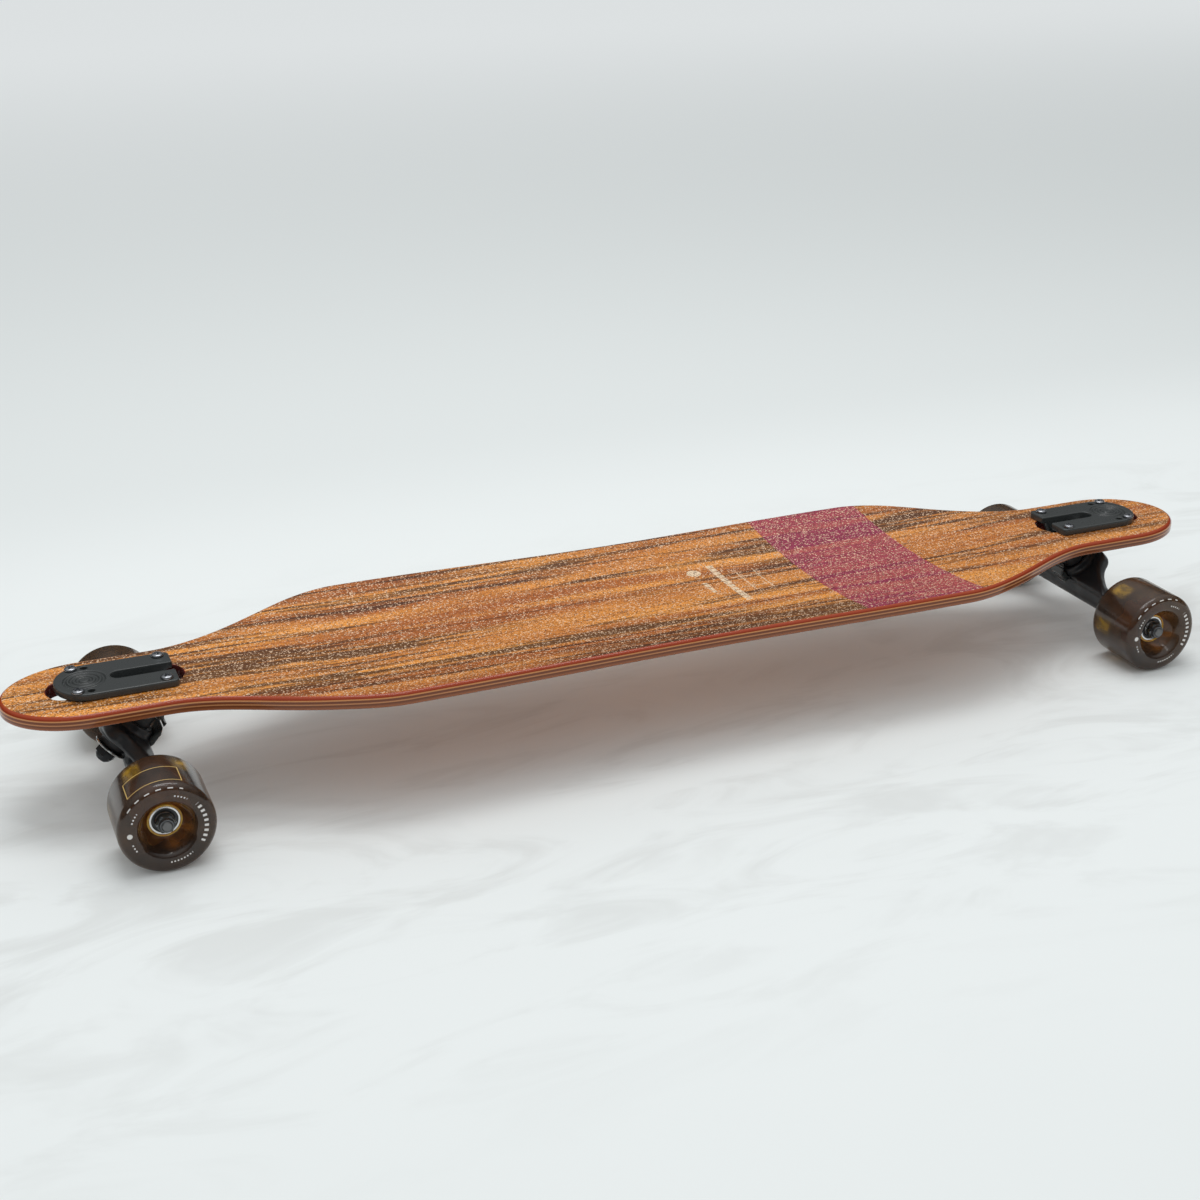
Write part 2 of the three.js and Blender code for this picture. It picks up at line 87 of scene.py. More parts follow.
RING = {"x": -4.25, "z": -35.6, "radius": 16.5, "half": 4.5, "skirt": 16.5, "hole": 8.0}
SLOPE = math.radians(45)
NOSE_RADIUS, NOSE_MIDDLE, NOSE_ROOT = 4.2, -17.0, 6.3
HOUSING = {"radius": 7.0, "from": -23.5, "to": -17.1}
CUP = {"bore": 4.5, "radius": 5.6, "from": -22.3, "to": -17.4, "floor": 0.8}
BUSHING = {"radius": 12.5, "boardside": 11.2, "roadside": 17.2, "bore": 5.2}
WASHER = {"radius": 13.0, "thickness": 1.5}
KINGPIN = {"radius": 4.75, "head_radius": 7.2, "head": 6.0, "seat": 9.5}
KINGPIN_NUT = {"radius": 8.2, "height": 9.0, "collar": 2.4}
SEAT = RING["half"] + BUSHING["boardside"] + WASHER["thickness"] + 3 * GAP
NUT_FACE = RING["half"] + BUSHING["roadside"] + WASHER["thickness"] + 3 * GAP
BEAM = {"s": -18.31, "up": -14.07, "radius": 9.4, "end": 8.5, "shoulder": 80.0, "half": 89.3}
DROOP, DROOP_OUT, DROOP_STRAIGHT = 4.0, 0.2, 15.0  # the middle of the beam, set off from the axle
WEB = {"at_beam": 58.0, "at_ring": 27.0, "ring_at": 8.0, "outer": 18.5, "end": 10.0}
WEB_LOW, WEB_HIGH = -13.0, -1.0
SWEEP = {"inside": 2.9, "beside": 1.2, "half": 22.0, "top": -16.0}  # room for the washer as the deck tips
LEAN = {"aside": 2.5, "below": 4.6}  # room for the post as it leans to either side
AXLE_RADIUS, AXLE_HALF = 3.9, 125.0
AXLE_NUT = {"radius": 7.3, "height": 8.3, "collar": 2.3}

WHEEL = {"radius": 34.5, "half": 26.0, "lip": 5.5, "dish": 13.5, "open": 19.0}
BEARING = {"bore": 4.25, "race": 6.2, "radius": 11.0, "width": 7.0, "low": 5.15}
CORE = {"hub": 15.5, "lobe": 21.5, "lobes": 6, "bore": 8.0}
BOLT = {"radius": 2.4, "head_radius": 4.7, "head": 2.3, "length": 27.0}
LOCKNUT = {"radius": 5.4, "height": 5.0, "collar": 1.0}

BAND = (142.6, 250.6)  # the coloured band across the deck
RULE = 0.0008  # the width of a printed rule, in metres
WALL_SHADE_DEPTH = -1.0  # the "depth" that marks the walls of the deck's openings, painted a dark red-brown as shade


# ---------------- meshes

def make(name, verts, faces, look, body, replaces=(), slot=None, place=None, sharp=40.0):
    """A smooth-shaded piece from points in millimetres. It rides on a CAD body if one is given."""
    mesh = bpy.data.meshes.new(name)
    points = np.asarray(verts, float) * MM
    mesh.from_pydata(points.tolist(), [], [list(map(int, f)) for f in faces])
    mesh.validate()
    mesh.shade_smooth()
    if sharp:
        mesh.set_sharp_from_angle(angle=math.radians(sharp))
    mesh.materials.append(LOOKS[look])
    obj = bpy.data.objects.new(name, mesh)
    bpy.context.scene.collection.objects.link(obj)
    if place is not None:
        obj.matrix_world = place
    if body:
        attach(obj, body)
    if replaces:
        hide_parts(*replaces)
    return obj


def placed(x, y, z):
    return Matrix.Translation(Vector((x, y, z)) * MM)


def ease(t):
    u = np.clip(t, 0.0, 1.0)
    return u * u * (3 - 2 * u)


def turns(count):
    """Angles evenly round a circle."""
    return np.arange(count) * 2 * math.pi / count


def ring_faces(rows, around, closed_rows=False):
    """Quads joining rows of points, each row a closed ring of the same count."""
    faces = []
    last = rows if closed_rows else rows - 1
    for i in range(last):
        a = i * around
        b = ((i + 1) % rows) * around
        for j in range(around):
            k = (j + 1) % around
            faces.append((a + j, a + k, b + k, b + j))
    return faces


def turned(profile, segments=64):
    """Points and faces of a solid of revolution about Z from [radius, z] pairs.
    A profile that starts and ends on the axis is closed by fans, and any other closes on itself."""
    capped = profile[0][0] < 1e-6
    body = profile[1:-1] if capped else profile
    angles = turns(segments)
    circle = np.stack([np.cos(angles), np.sin(angles)], 1)
    rows = []
    for r, z in body:
        rows.append(np.column_stack([circle * r, np.full(segments, z)]))
    verts = np.concatenate(rows)
    faces = ring_faces(len(body), segments, closed_rows=not capped)
    if capped:
        bottom, top = len(verts), len(verts) + 1
        verts = np.vstack([verts, [0, 0, profile[0][1]], [0, 0, profile[-1][1]]])
        end = (len(body) - 1) * segments
        for j in range(segments):
            k = (j + 1) % segments
            faces.append((bottom, k, j))
            faces.append((top, end + j, end + k))
    return verts, faces


def arc(cx, cz, radius, start, end, steps):
    """Points of an arc in the [radius, z] half-plane, angles in degrees."""
    angles = np.radians(np.linspace(start, end, steps + 1))
    return [(cx + radius * math.cos(a), cz + radius * math.sin(a)) for a in angles]


def hexagonal(points, corner):
    """Pulls points in about Z to a hexagon with this corner radius."""
    angles = np.arctan2(points[:, 1], points[:, 0])
    radii = np.hypot(points[:, 0], points[:, 1])
    flat = corner * math.cos(math.pi / 6)
    within = (angles % (math.pi / 3)) - math.pi / 6
    limit = flat / np.cos(within)
    scale = np.minimum(radii, limit) / np.maximum(radii, 1e-9)
    moved = points.copy()
    moved[:, 0] *= scale
    moved[:, 1] *= scale
    return moved


def nut(corner, height, bore, collar=0.0, segments=72):
    """A chamfered hexagon nut standing on Z = 0, with a rounded collar above it if asked."""
    flat = corner * math.cos(math.pi / 6)
    chamfer = corner - flat
    profile = [
        (bore, 0.0),
        (flat * 0.97, 0.0),
        (corner, chamfer * 0.6),
        (corner, height - chamfer * 0.6),
        (flat * 0.97, height),
    ]
    if collar:
        profile += [(flat * 0.9, height), (flat * 0.88, height + collar * 0.6)]
        profile += [(flat * 0.78, height + collar), (bore, height + collar)]
    else:
        profile += [(bore, height)]
    verts, faces = turned(profile, segments)
    return hexagonal(verts, corner), faces


def locknut(size, bore):
    return nut(size["radius"], size["height"] - size["collar"], bore, size["collar"])


# ---------------- castings from distance fields

def blend_min(a, b, k):
    """Smooth union of two distance fields with a fillet of about k."""
    h = np.clip(0.5 + 0.5 * (b - a) / k, 0, 1)
    return b * (1 - h) + a * h - k * h * (1 - h)


def blend_max(a, b, k):
    return -blend_min(-a, -b, k)


def rod_field(p, axis, centre, radius, low, high, rounding=0.0):
    """A rod along one axis (0, 1 or 2); centre gives the other two coordinates in order."""
    others = [i for i in range(3) if i != axis]
    across = np.hypot(p[others[0]] - centre[0], p[others[1]] - centre[1]) - radius + rounding
    along = np.abs(p[axis] - (low + high) / 2) - (high - low) / 2 + rounding
    outside = np.hypot(np.maximum(across, 0), np.maximum(along, 0))
    return outside + np.minimum(np.maximum(across, along), 0) - rounding


def surface_nets(field, low, step):
    """The zero surface of a sampled field as quads: one vertex in each cell that the surface crosses."""
    shape = np.array(field.shape) - 1
    total = np.zeros((*shape, 3))
    count = np.zeros(shape)
    crossings = []
    for axis in range(3):
        near = [slice(None)] * 3
        far = [slice(None)] * 3
        near[axis] = slice(0, -1)
        far[axis] = slice(1, None)
        a, b = field[tuple(near)], field[tuple(far)]
        cross = (a < 0) != (b < 0)
        crossings.append((cross, a < 0))
        t = np.where(cross, a / np.where(cross, a - b, 1), 0)
        others = [i for i in range(3) if i != axis]
        for d0 in (0, 1):
            for d1 in (0, 1):
                part = [slice(None)] * 3
                part[others[0]] = slice(d0, shape[others[0]] + d0)
                part[others[1]] = slice(d1, shape[others[1]] + d1)
                hit = cross[tuple(part)]
                count += hit
                total[..., axis] += np.where(hit, t[tuple(part)], 0)
                total[..., others[0]] += np.where(hit, d0, 0)
                total[..., others[1]] += np.where(hit, d1, 0)
    used = count > 0
    number = np.full(shape, -1)
    number[used] = np.arange(used.sum())
    cells = np.argwhere(used)
    verts = low + step * (cells + total[used] / count[used][:, None])
    faces = []
    for axis, (cross, starts_inside) in enumerate(crossings):
        u, v = (axis + 1) % 3, (axis + 2) % 3
        at = np.argwhere(cross)
        inner = (at[:, u] > 0) & (at[:, v] > 0) & (at[:, u] < shape[u]) & (at[:, v] < shape[v])
        at = at[inner]
        corners = []
        for du, dv in ((1, 1), (0, 1), (0, 0), (1, 0)):
            cell = at.copy()
            cell[:, u] -= du
            cell[:, v] -= dv
            corners.append(number[cell[:, 0], cell[:, 1], cell[:, 2]])
        quads = np.stack(corners, 1)
        flip = ~starts_inside[at[:, 0], at[:, 1], at[:, 2]]
        quads[flip] = quads[flip][:, ::-1]
        faces.append(quads)
    return verts, np.concatenate(faces)


def cast(field, low, high, step):
    """The surface of a distance field over a box, as points and quads."""
    low = np.array(low, float)
    counts = np.ceil((np.array(high, float) - low) / step).astype(int) + 1
    axes = [low[i] + step * np.arange(counts[i]) for i in range(3)]
    grid = np.meshgrid(*axes, indexing="ij")
    return surface_nets(field(grid), low, step)


def curve(points, steps):
    """Points of a quadratic or cubic Bezier curve, without its first."""
    made = []
    for t in np.linspace(0, 1, steps + 1)[1:]:
        row = [np.array(q, float) for q in points]
        while len(row) > 1:
            row = [q * (1 - t) + r * t for q, r in zip(row, row[1:])]
        made.append(tuple(row[0]))
    return made


def web_outline():
    """Half of the hanger's web seen down the kingpin, and its mirror image."""
    w, ring, outer = WEB["at_beam"], WEB["at_ring"], WEB["outer"]
    beam_end, ring_end = (BEAM["s"], w), (WEB["ring_at"], ring)
    half = [beam_end]
    half += curve([beam_end, (-8, w - 6), (-4, ring + 4), ring_end], 12)
    half += curve([ring_end, (outer, ring - 2), (outer, WEB["end"])], 8)
    return half + [(s, -y) for s, y in half[::-1]]


def hanger_field(p):
    """The hanger in the steering frame: S along the steering axis, Y across, U up the kingpin."""
    s, y, u = p
    off = np.abs(y)
    narrowing = np.clip((off - BEAM["shoulder"]) / (BEAM["half"] - BEAM["shoulder"]), 0, 1)
    radius = BEAM["radius"] + (BEAM["end"] - BEAM["radius"]) * narrowing
    drop = DROOP * np.clip((BEAM["shoulder"] - off) / (BEAM["shoulder"] - DROOP_STRAIGHT), 0, 1)
    beam = np.hypot(s - BEAM["s"] - DROOP_OUT * drop, u - BEAM["up"] + drop) - radius
    beam = blend_max(beam, off - BEAM["half"], 1.0)
    ring = rod_field(p, 2, (0, 0), RING["radius"], -RING["skirt"], RING["half"] + 1.5, 1.2)
    middle, half = (WEB_LOW + WEB_HIGH) / 2, (WEB_HIGH - WEB_LOW) / 2
    web = blend_max(polygon_field(s, y, web_outline()), np.abs(u - middle) - half, 3.5)
    body = blend_min(beam, web, 4)
    body = blend_min(body, ring, 3)
    clear = HOUSING["to"] + 0.4
    sweep = np.maximum(NUT_FACE - SWEEP["inside"] - np.hypot(y, u), -WASHER["radius"] - SWEEP["beside"] - s)
    cuts = [
        rod_field(p, 2, (0, 0), RING["hole"], -60, 40),
        rod_field(p, 2, (0, 0), BUSHING["radius"] + 1, RING["half"], 40),
        rod_field(p, 2, (0, 0), BUSHING["radius"] + 0.6, -60, -RING["half"]),
        rod_field(p, 1, (BEAM["s"], BEAM["up"]), AXLE_RADIUS + 0.2, -200, 200),
        np.maximum(np.maximum(sweep, off - SWEEP["half"]), u - SWEEP["top"]),
        np.maximum(np.hypot(y, u) - HOUSING["radius"] - 0.6, s - clear),
        np.maximum(np.maximum(off - BODY_HALF - LEAN["aside"], -LEAN["below"] - u), s - clear),
    ]
    for cut in cuts:
        body = blend_max(body, -cut, 0.8)
    nose = rod_field(p, 0, (0, 0), NOSE_RADIUS, NOSE_MIDDLE - NOSE_RADIUS, -14, 2.8)
    root = rod_field(p, 0, (0, 0), NOSE_ROOT, HOUSING["to"] + 0.5, -14, 0.4)
    return np.minimum(body, np.minimum(nose, root))


def polygon_field(x, z, corners):
    """Signed distance to a polygon in a plane."""
    best = np.full(x.shape, 1e9)
    inside = np.zeros(x.shape, bool)
    count = len(corners)
    for i in range(count):
        (ax, az), (bx, bz) = corners[i], corners[(i + 1) % count]
        ex, ez = bx - ax, bz - az
        t = np.clip(((x - ax) * ex + (z - az) * ez) / (ex * ex + ez * ez), 0, 1)
        best = np.minimum(best, np.hypot(x - ax - t * ex, z - az - t * ez))
        if abs(ez) > 1e-9:
            spans = (az > z) != (bz > z)
            inside ^= spans & (x < ex * (z - az) / ez + ax)
    return np.where(inside, -best, best)


def from_steering(s, up):
    c, d = math.cos(SLOPE), math.sin(SLOPE)
    return RING["x"] + s * c - up * d, RING["z"] + s * d + up * c


def plate_field(x, y):
    """The flange's outline from above: square at the inner end, rounded at the outer."""
    off = np.abs(y)
    corner_x = np.maximum(PLATE_INNER + PLATE_CORNER - x, 0)
    corner_y = np.maximum(off - PLATE_HALF + PLATE_CORNER, 0)
    squared = np.hypot(corner_x, corner_y) - PLATE_CORNER
    straight = np.maximum(PLATE_INNER - x, off - PLATE_HALF)
    squared = np.where((corner_x > 0) & (corner_y > 0), squared, straight)
    along = np.maximum(x - PLATE_OUTER + PLATE_ROUND, 0) / PLATE_ROUND
    rounded = (np.hypot(along, off / PLATE_HALF) - 1) * PLATE_ROUND
    return np.maximum(squared, rounded)


def baseplate_field(p):
    """The baseplate in the truck's frame: X towards the deck's tip, Z up from the deck's top."""
    x, y, z = p
    off = np.abs(y)
    thick = PLATE_THICKNESS - GAP
    flange = blend_max(plate_field(x, y), np.abs(z - GAP - thick / 2) - thick / 2, 1.2)
    from_swirl = np.hypot(x - PLATE_OUTER + PLATE_ROUND - 2, y)
    for radius in GROOVES:
        groove = np.hypot(from_swirl - radius, z - PLATE_THICKNESS) - GROOVE_SIZE
        flange = blend_max(flange, -groove, 0.4)
    back = PLATE_INNER + 3
    h = HOUSING
    corners = [(back, 2), (back + 6, -8), from_steering(h["from"] + 1.5, h["radius"])]
    corners += [from_steering(h["from"], -h["radius"]), from_steering(h["to"], -h["radius"])]
    corners += [from_steering(h["to"], SEAT), from_steering(26, SEAT), (12, 2)]
    body = blend_max(polygon_field(x, z, corners), off - BODY_HALF, 3)
    c, d = math.cos(SLOPE), math.sin(SLOPE)
    s = (x - RING["x"]) * c + (z - RING["z"]) * d
    u = -(x - RING["x"]) * d + (z - RING["z"]) * c
    # the post narrows to the round housing of the pivot
    round_half = np.sqrt(np.maximum(h["radius"] ** 2 - u ** 2, 0))
    post_half = np.where(u < 0, round_half, h["radius"] + (BODY_HALF - h["radius"]) * ease((u - 3) / 16))
    body = np.where(s < h["to"] + 0.5, blend_max(body, (off - post_half) * 0.7, 1.5), body)
    from_kingpin, from_axis = np.hypot(y, s), np.hypot(y, u)
    slot = np.where(x < SLOT_END - SLOT_HALF, off, np.hypot(x - SLOT_END + SLOT_HALF, y)) - SLOT_HALF
    cup_seat = np.maximum(CUP["from"] - 0.15 - s, s - h["to"] - 3)
    cuts = [
        np.maximum(from_kingpin - KINGPIN["head_radius"] - GAP, SEAT + KINGPIN["seat"] - u),
        from_kingpin - KINGPIN["radius"] - GAP + np.maximum(-u, 0),
        np.maximum(from_axis - CUP["radius"] - 0.15, cup_seat),
        np.maximum(slot, -4 - z),
    ]
    whole = blend_min(flange, body, 1.0)
    for cut in cuts:
        whole = blend_max(whole, -cut, 0.8)
    for side in (-1, 1):
        for hx in (HOLE_ALONG / 2, -HOLE_ALONG / 2, HOLE_ALONG / 2 - SPARE_HOLES):
            hole = np.hypot(x - hx, y - side * HOLE_ACROSS / 2) - HOLE_RADIUS
            whole = np.maximum(whole, -np.maximum(hole, -1 - z))
    return whole


# ---------------- materials

class Look:
    """A material built from nodes. Sockets or plain values may be given for any input."""

    def __init__(self, name):
        self.material = bpy.data.materials.new(name)
        self.material.use_nodes = True
        self.tree = self.material.node_tree
        self.tree.nodes.clear()
        self.output = self.tree.nodes.new("ShaderNodeOutputMaterial")
        self.coords = self.node("ShaderNodeTexCoord").outputs["Object"]

    def put(self, socket, value):
        if isinstance(value, bpy.types.NodeSocket):
            self.tree.links.new(value, socket)
        elif isinstance(value, (tuple, list)) and len(value) == 3 and socket.type == "RGBA":
            socket.default_value = (*value, 1.0)
        else:
            socket.default_value = value

    def node(self, kind, inputs=None, **settings):
        made = self.tree.nodes.new(kind)
        for key, value in settings.items():
            setattr(made, key, value)
        for key, value in (inputs or {}).items():
            self.put(made.inputs[key], value)
        return made

    def math(self, operation, a, b=0.0, c=0.0):
        return self.node("ShaderNodeMath", {0: a, 1: b, 2: c}, operation=operation).outputs[0]

    def times(self, a, b):
        return self.math("MULTIPLY", a, b)

    def hypot(self, x, y):
        return self.math("SQRT", self.math("ADD", self.times(x, x), self.times(y, y)))

    def largest(self, values):
        total = values[0]
        for value in values[1:]:
            total = self.math("MAXIMUM", total, value)
        return total

    def parts(self, vector):
        made = self.node("ShaderNodeSeparateXYZ", {0: vector})
        return made.outputs[0], made.outputs[1], made.outputs[2]

    def stretched(self, vector, x, y, z):
        made = self.node("ShaderNodeVectorMath", {0: vector, 1: (x, y, z)}, operation="MULTIPLY")
        return made.outputs[0]

    def noise(self, vector, scale, detail=3.0, roughness=0.5, distortion=0.0):
        inputs = {"Vector": vector, "Scale": scale, "Detail": detail}
        inputs.update({"Roughness": roughness, "Distortion": distortion})
        return self.node("ShaderNodeTexNoise", inputs).outputs["Fac"]

    def cells(self, vector, scale):
        return self.node("ShaderNodeTexVoronoi", {"Vector": vector, "Scale": scale}).outputs["Color"]

    def between(self, value, low, high, out_low=0.0, out_high=1.0):
        """Smooth step of value from low to high."""
        inputs = {"Value": value, "From Min": low, "From Max": high, "To Min": out_low, "To Max": out_high}
        return self.node("ShaderNodeMapRange", inputs, interpolation_type="SMOOTHSTEP").outputs[0]

    def within(self, value, low, high, soft=0.0002):
        """1 where value lies from low to high."""
        rise = self.between(value, low - soft, low + soft)
        fall = self.between(value, high - soft, high + soft, 1.0, 0.0)
        return self.times(rise, fall)

    def mix(self, factor, a, b):
        made = self.tree.nodes.new("ShaderNodeMix")
        made.data_type = "RGBA"
        self.put(made.inputs[0], factor)
        self.put(made.inputs[6], a)
        self.put(made.inputs[7], b)
        return made.outputs[2]

    def ramp(self, factor, stops):
        made = self.node("ShaderNodeValToRGB", {0: factor})
        elements = made.color_ramp.elements
        while len(elements) < len(stops):
            elements.new(0.5)
        for element, (position, colour) in zip(elements, stops):
            element.position = position
            element.color = (*colour, 1.0)
        return made.outputs[0]

    def bump(self, height, strength, distance=0.0002):
        inputs = {"Height": height, "Strength": strength, "Distance": distance}
        return self.node("ShaderNodeBump", inputs).outputs[0]

    def surface(self, **inputs):
        made = self.node("ShaderNodeBsdfPrincipled")
        for key, value in inputs.items():
            self.put(made.inputs[key.replace("_", " ")], value)
        self.tree.links.new(made.outputs[0], self.output.inputs["Surface"])
        self.bsdf = made

    def see_through(self, share, tint):
        """Mixes in straight-through light, so that lamps reach what is inside."""
        clear = self.node("ShaderNodeBsdfTransparent", {"Color": tint})
        mixed = self.node("ShaderNodeMixShader", {0: share, 1: self.bsdf.outputs[0], 2: clear.outputs[0]})
        self.tree.links.new(mixed.outputs[0], self.output.inputs["Surface"])


def wood_figure(look, light, middle, dark):
    """Lengthwise figured grain with dark streaks and fine pores."""
    p = look.coords
    broad = look.noise(look.stretched(p, 1.7, 21.0, 21.0), 1.0, 4.0, 0.55, 1.2)
    streaks = look.noise(look.stretched(p, 4.2, 105.0, 105.0), 1.0, 5.0, 0.6, 0.9)
    clusters = look.noise(look.stretched(p, 2.6, 17.0, 17.0), 1.0, 2.0, 0.5, 0.4)
    pores = look.noise(look.stretched(p, 45.0, 1100.0, 1100.0), 1.0, 2.0, 0.5)
    base = look.mix(look.between(broad, 0.35, 0.66), middle, light)
    level = look.math("MULTIPLY_ADD", clusters, 0.55, streaks)
    streak = look.between(level, 0.73, 0.90)
    figured = look.mix(look.times(streak, 0.85), base, dark)
    return look.mix(look.between(pores, 0.5, 0.72, 0.0, 0.35), figured, dark)


def deck_look():
    """Figured veneer under clear grit with painted glints, with a coloured band, rails in dark red lacquer,
    bare plies and opening walls painted dark as shade.
    """
    look = Look("deck_veneer")
    x, y, _ = look.parts(look.coords)
    depth = look.node("ShaderNodeAttribute", attribute_name="depth").outputs["Fac"]
    wood = wood_figure(look, (0.86, 0.34, 0.060), (0.42, 0.115, 0.020), (0.028, 0.012, 0.008))
    band = look.within(x, BAND[0] * MM, BAND[1] * MM)
    dyed = look.mix(0.76, wood, (0.34, 0.022, 0.095))
    top = look.mix(band, wood, dyed)
    top = look.mix(look.times(print_marks(look, x, y), 0.92), top, (0.84, 0.66, 0.45))
    # the clear grit: random dark specks, and pale dots painted in as glints of light
    bright, raised, dull = look.parts(look.cells(look.coords, 1050.0))
    painted_glint = look.between(bright, 0.80, 0.95)
    shade = look.between(dull, 0.60, 0.95, 0.0, 0.75)
    top = look.mix(shade, top, (0.09, 0.03, 0.016))
    top = look.mix(look.times(painted_glint, 0.75), top, (0.95, 0.68, 0.46))
    plies = [
        (0.0, (0.36, 0.050, 0.008)), (0.24, (0.22, 0.022, 0.005)), (0.29, (0.56, 0.26, 0.10)),
        (0.34, (0.48, 0.20, 0.08)), (0.38, (0.13, 0.035, 0.014)), (0.52, (0.17, 0.05, 0.02)),
        (0.55, (0.46, 0.20, 0.08)), (0.61, (0.40, 0.16, 0.065)), (0.65, (0.11, 0.032, 0.014)),
        (0.8, (0.22, 0.07, 0.028)), (0.9, (0.30, 0.10, 0.04)), (1.0, (0.16, 0.05, 0.02)),
    ]
    along = look.noise(look.stretched(look.coords, 30.0, 30.0, 900.0), 1.0, 3.0, 0.6)
    side = look.ramp(look.math("MULTIPLY_ADD", along, 0.03, depth), plies)
    above_plies = look.between(depth, 0.012, 0.03, 1.0, 0.0)
    on_top = look.times(above_plies, look.between(depth, -0.1, -0.01))
    colour = look.mix(on_top, side, top)
    below = look.between(depth, 0.985, 0.999)
    colour = look.mix(below, colour, wood)
    # the walls of the openings: painted shade, a dark red-brown where the slots lie in shadow
    colour = look.mix(look.between(depth, -0.6, -0.2, 1.0, 0.0), colour, (0.085, 0.018, 0.016))
    rough = look.math("MULTIPLY_ADD", on_top, 0.2, 0.16)
    grit = look.bump(look.times(raised, on_top), 0.55, 0.00035)
    look.surface(Base_Color=colour, Roughness=rough, Normal=grit, Specular_IOR_Level=0.2,
                 Coat_Weight=look.math("MULTIPLY_ADD", on_top, -0.15, 0.3), Coat_Roughness=0.08)
    return look.material


def print_marks(look, x, y):
    """A plain disc, bars and rules printed on the top: no lettering."""
    marks = []
    from_disc = look.hypot(look.math("SUBTRACT", x, 0.054), look.math("SUBTRACT", y, 0.031))
    marks.append(look.within(from_disc, -0.001, 0.0062, 0.0003))
    dashes = look.between(look.math("PINGPONG", y, 0.0035), 0.0004, 0.0008)
    column = look.times(look.within(x, 0.0695, 0.0755), look.within(y, -0.038, 0.041))
    marks.append(look.times(column, dashes))
    short = look.times(look.within(x, 0.052, 0.056), look.within(y, -0.012, 0.010))
    marks.append(look.times(short, dashes))
    for line in (0.088, 0.104):
        marks.append(look.times(look.within(x, line, line + RULE), look.within(y, -0.02, 0.02)))
    for line in (-0.011, 0.011):
        marks.append(look.times(look.within(y, line, line + RULE), look.within(x, 0.081, 0.112)))
    return look.largest(marks)


def metal_look(name, colour, roughness, metallic=1.0, grain=900.0, strength=0.05):
    look = Look(name)
    cloud = look.noise(look.coords, 160.0, 3.0, 0.6)
    fine = look.noise(look.coords, grain, 2.0, 0.6)
    shade = look.mix(look.between(cloud, 0.3, 0.7, 0.0, 0.35), colour, tuple(c * 0.7 for c in colour))
    rough = look.between(cloud, 0.3, 0.7, roughness - 0.05, roughness + 0.07)
    normal = look.bump(fine, strength)
    look.surface(Base_Color=shade, Roughness=rough, Metallic=metallic, Normal=normal)
    return look.material


def tyre_look(name, framed):
    """Smoky urethane with plain marks and painted highlight dashes on the outer face, amber patches of
    painted light on the tread and in the dish, and, if asked, a ruled frame on the tread.
    """
    look = Look(name)
    x, y, z = look.parts(look.coords)
    radius = look.hypot(x, y)
    angle = look.math("ARCTAN2", y, x)
    face = look.within(z, 0.0245, 0.03)
    marks = []
    for low, high, start, end, step in (
        (0.0250, 0.0279, -0.55, 0.65, 0.075),
        (0.0252, 0.0263, 0.95, 1.35, 0.045),
        (0.0252, 0.0263, -1.6, -0.95, 0.045),
        (0.0252, 0.0263, 2.45, 2.8, 0.05),
        (0.0252, 0.0263, -2.9, -2.6, 0.05),
        # white dashes on the upper lip: painted highlights of the lamps, not print
        (0.0314, 0.0321, 1.15, 2.6, 0.13),
    ):
        ring = look.within(radius, low, high, 0.0001)
        span = look.within(angle, start, end, 0.01)
        dashes = look.between(look.math("PINGPONG", angle, step), step * 0.5, step * 0.58)
        marks.append(look.times(look.times(ring, span), dashes))
    spot = look.hypot(look.math("ADD", x, 0.0262), y)
    marks.append(look.within(spot, -0.001, 0.0019, 0.0002))
    prints_and_lip_glints = look.times(look.largest(marks), face)
    tread = look.between(radius, 0.0335, 0.0342)
    outer = look.times(look.within(angle, 1.15, 2.35, 0.004), look.within(z, -0.003, 0.018))
    inner = look.times(look.within(angle, 1.172, 2.328, 0.004), look.within(z, -0.0023, 0.0173))
    gold = look.times(look.math("SUBTRACT", outer, inner), tread)
    gold = look.times(gold, 1.0 if framed else 0.0)
    cloud = look.noise(look.coords, 55.0, 3.0, 0.55, 0.6)
    smoke = look.mix(look.between(cloud, 0.3, 0.7), (0.018, 0.012, 0.009), (0.045, 0.026, 0.017))
    # painted glow: amber patches on the inner half of the tread, where light through the core's lobes shows
    lobes = look.math("COSINE", look.times(angle, CORE["lobes"]))
    painted_core_glow = look.times(look.between(lobes, 0.1, 0.95), look.within(z, -0.017, -0.002, 0.004))
    painted_core_glow = look.times(look.times(painted_core_glow, tread), look.between(cloud, 0.35, 0.6, 0.25, 0.8))
    smoke = look.mix(painted_core_glow, smoke, (0.50, 0.29, 0.02))
    # painted glow: reddish amber patches in the dish round the bearing
    patches = look.between(cloud, 0.4, 0.65, 0.05, 0.5)
    painted_dish_glow = look.times(look.within(radius, 0.0100, 0.0185, 0.0015), patches)
    smoke = look.mix(painted_dish_glow, smoke, (0.30, 0.10, 0.015))
    colour = look.mix(look.times(prints_and_lip_glints, 0.8), smoke, (0.82, 0.80, 0.76))
    colour = look.mix(gold, colour, (0.62, 0.42, 0.14))
    fine = look.noise(look.coords, 380.0, 3.0, 0.6)
    normal = look.bump(fine, 0.08)
    rough = look.between(fine, 0.3, 0.7, 0.12, 0.2)
    look.surface(Base_Color=colour, Roughness=rough, Normal=normal, Coat_Weight=0.3, Coat_Roughness=0.08)
    # the share clear of the prints and of the painted lip highlights, which lets light through
    printed = look.math("SUBTRACT", 1.0, look.math("MAXIMUM", prints_and_lip_glints, gold))
    look.see_through(look.times(printed, 0.22), (0.80, 0.55, 0.30))
    return look.material


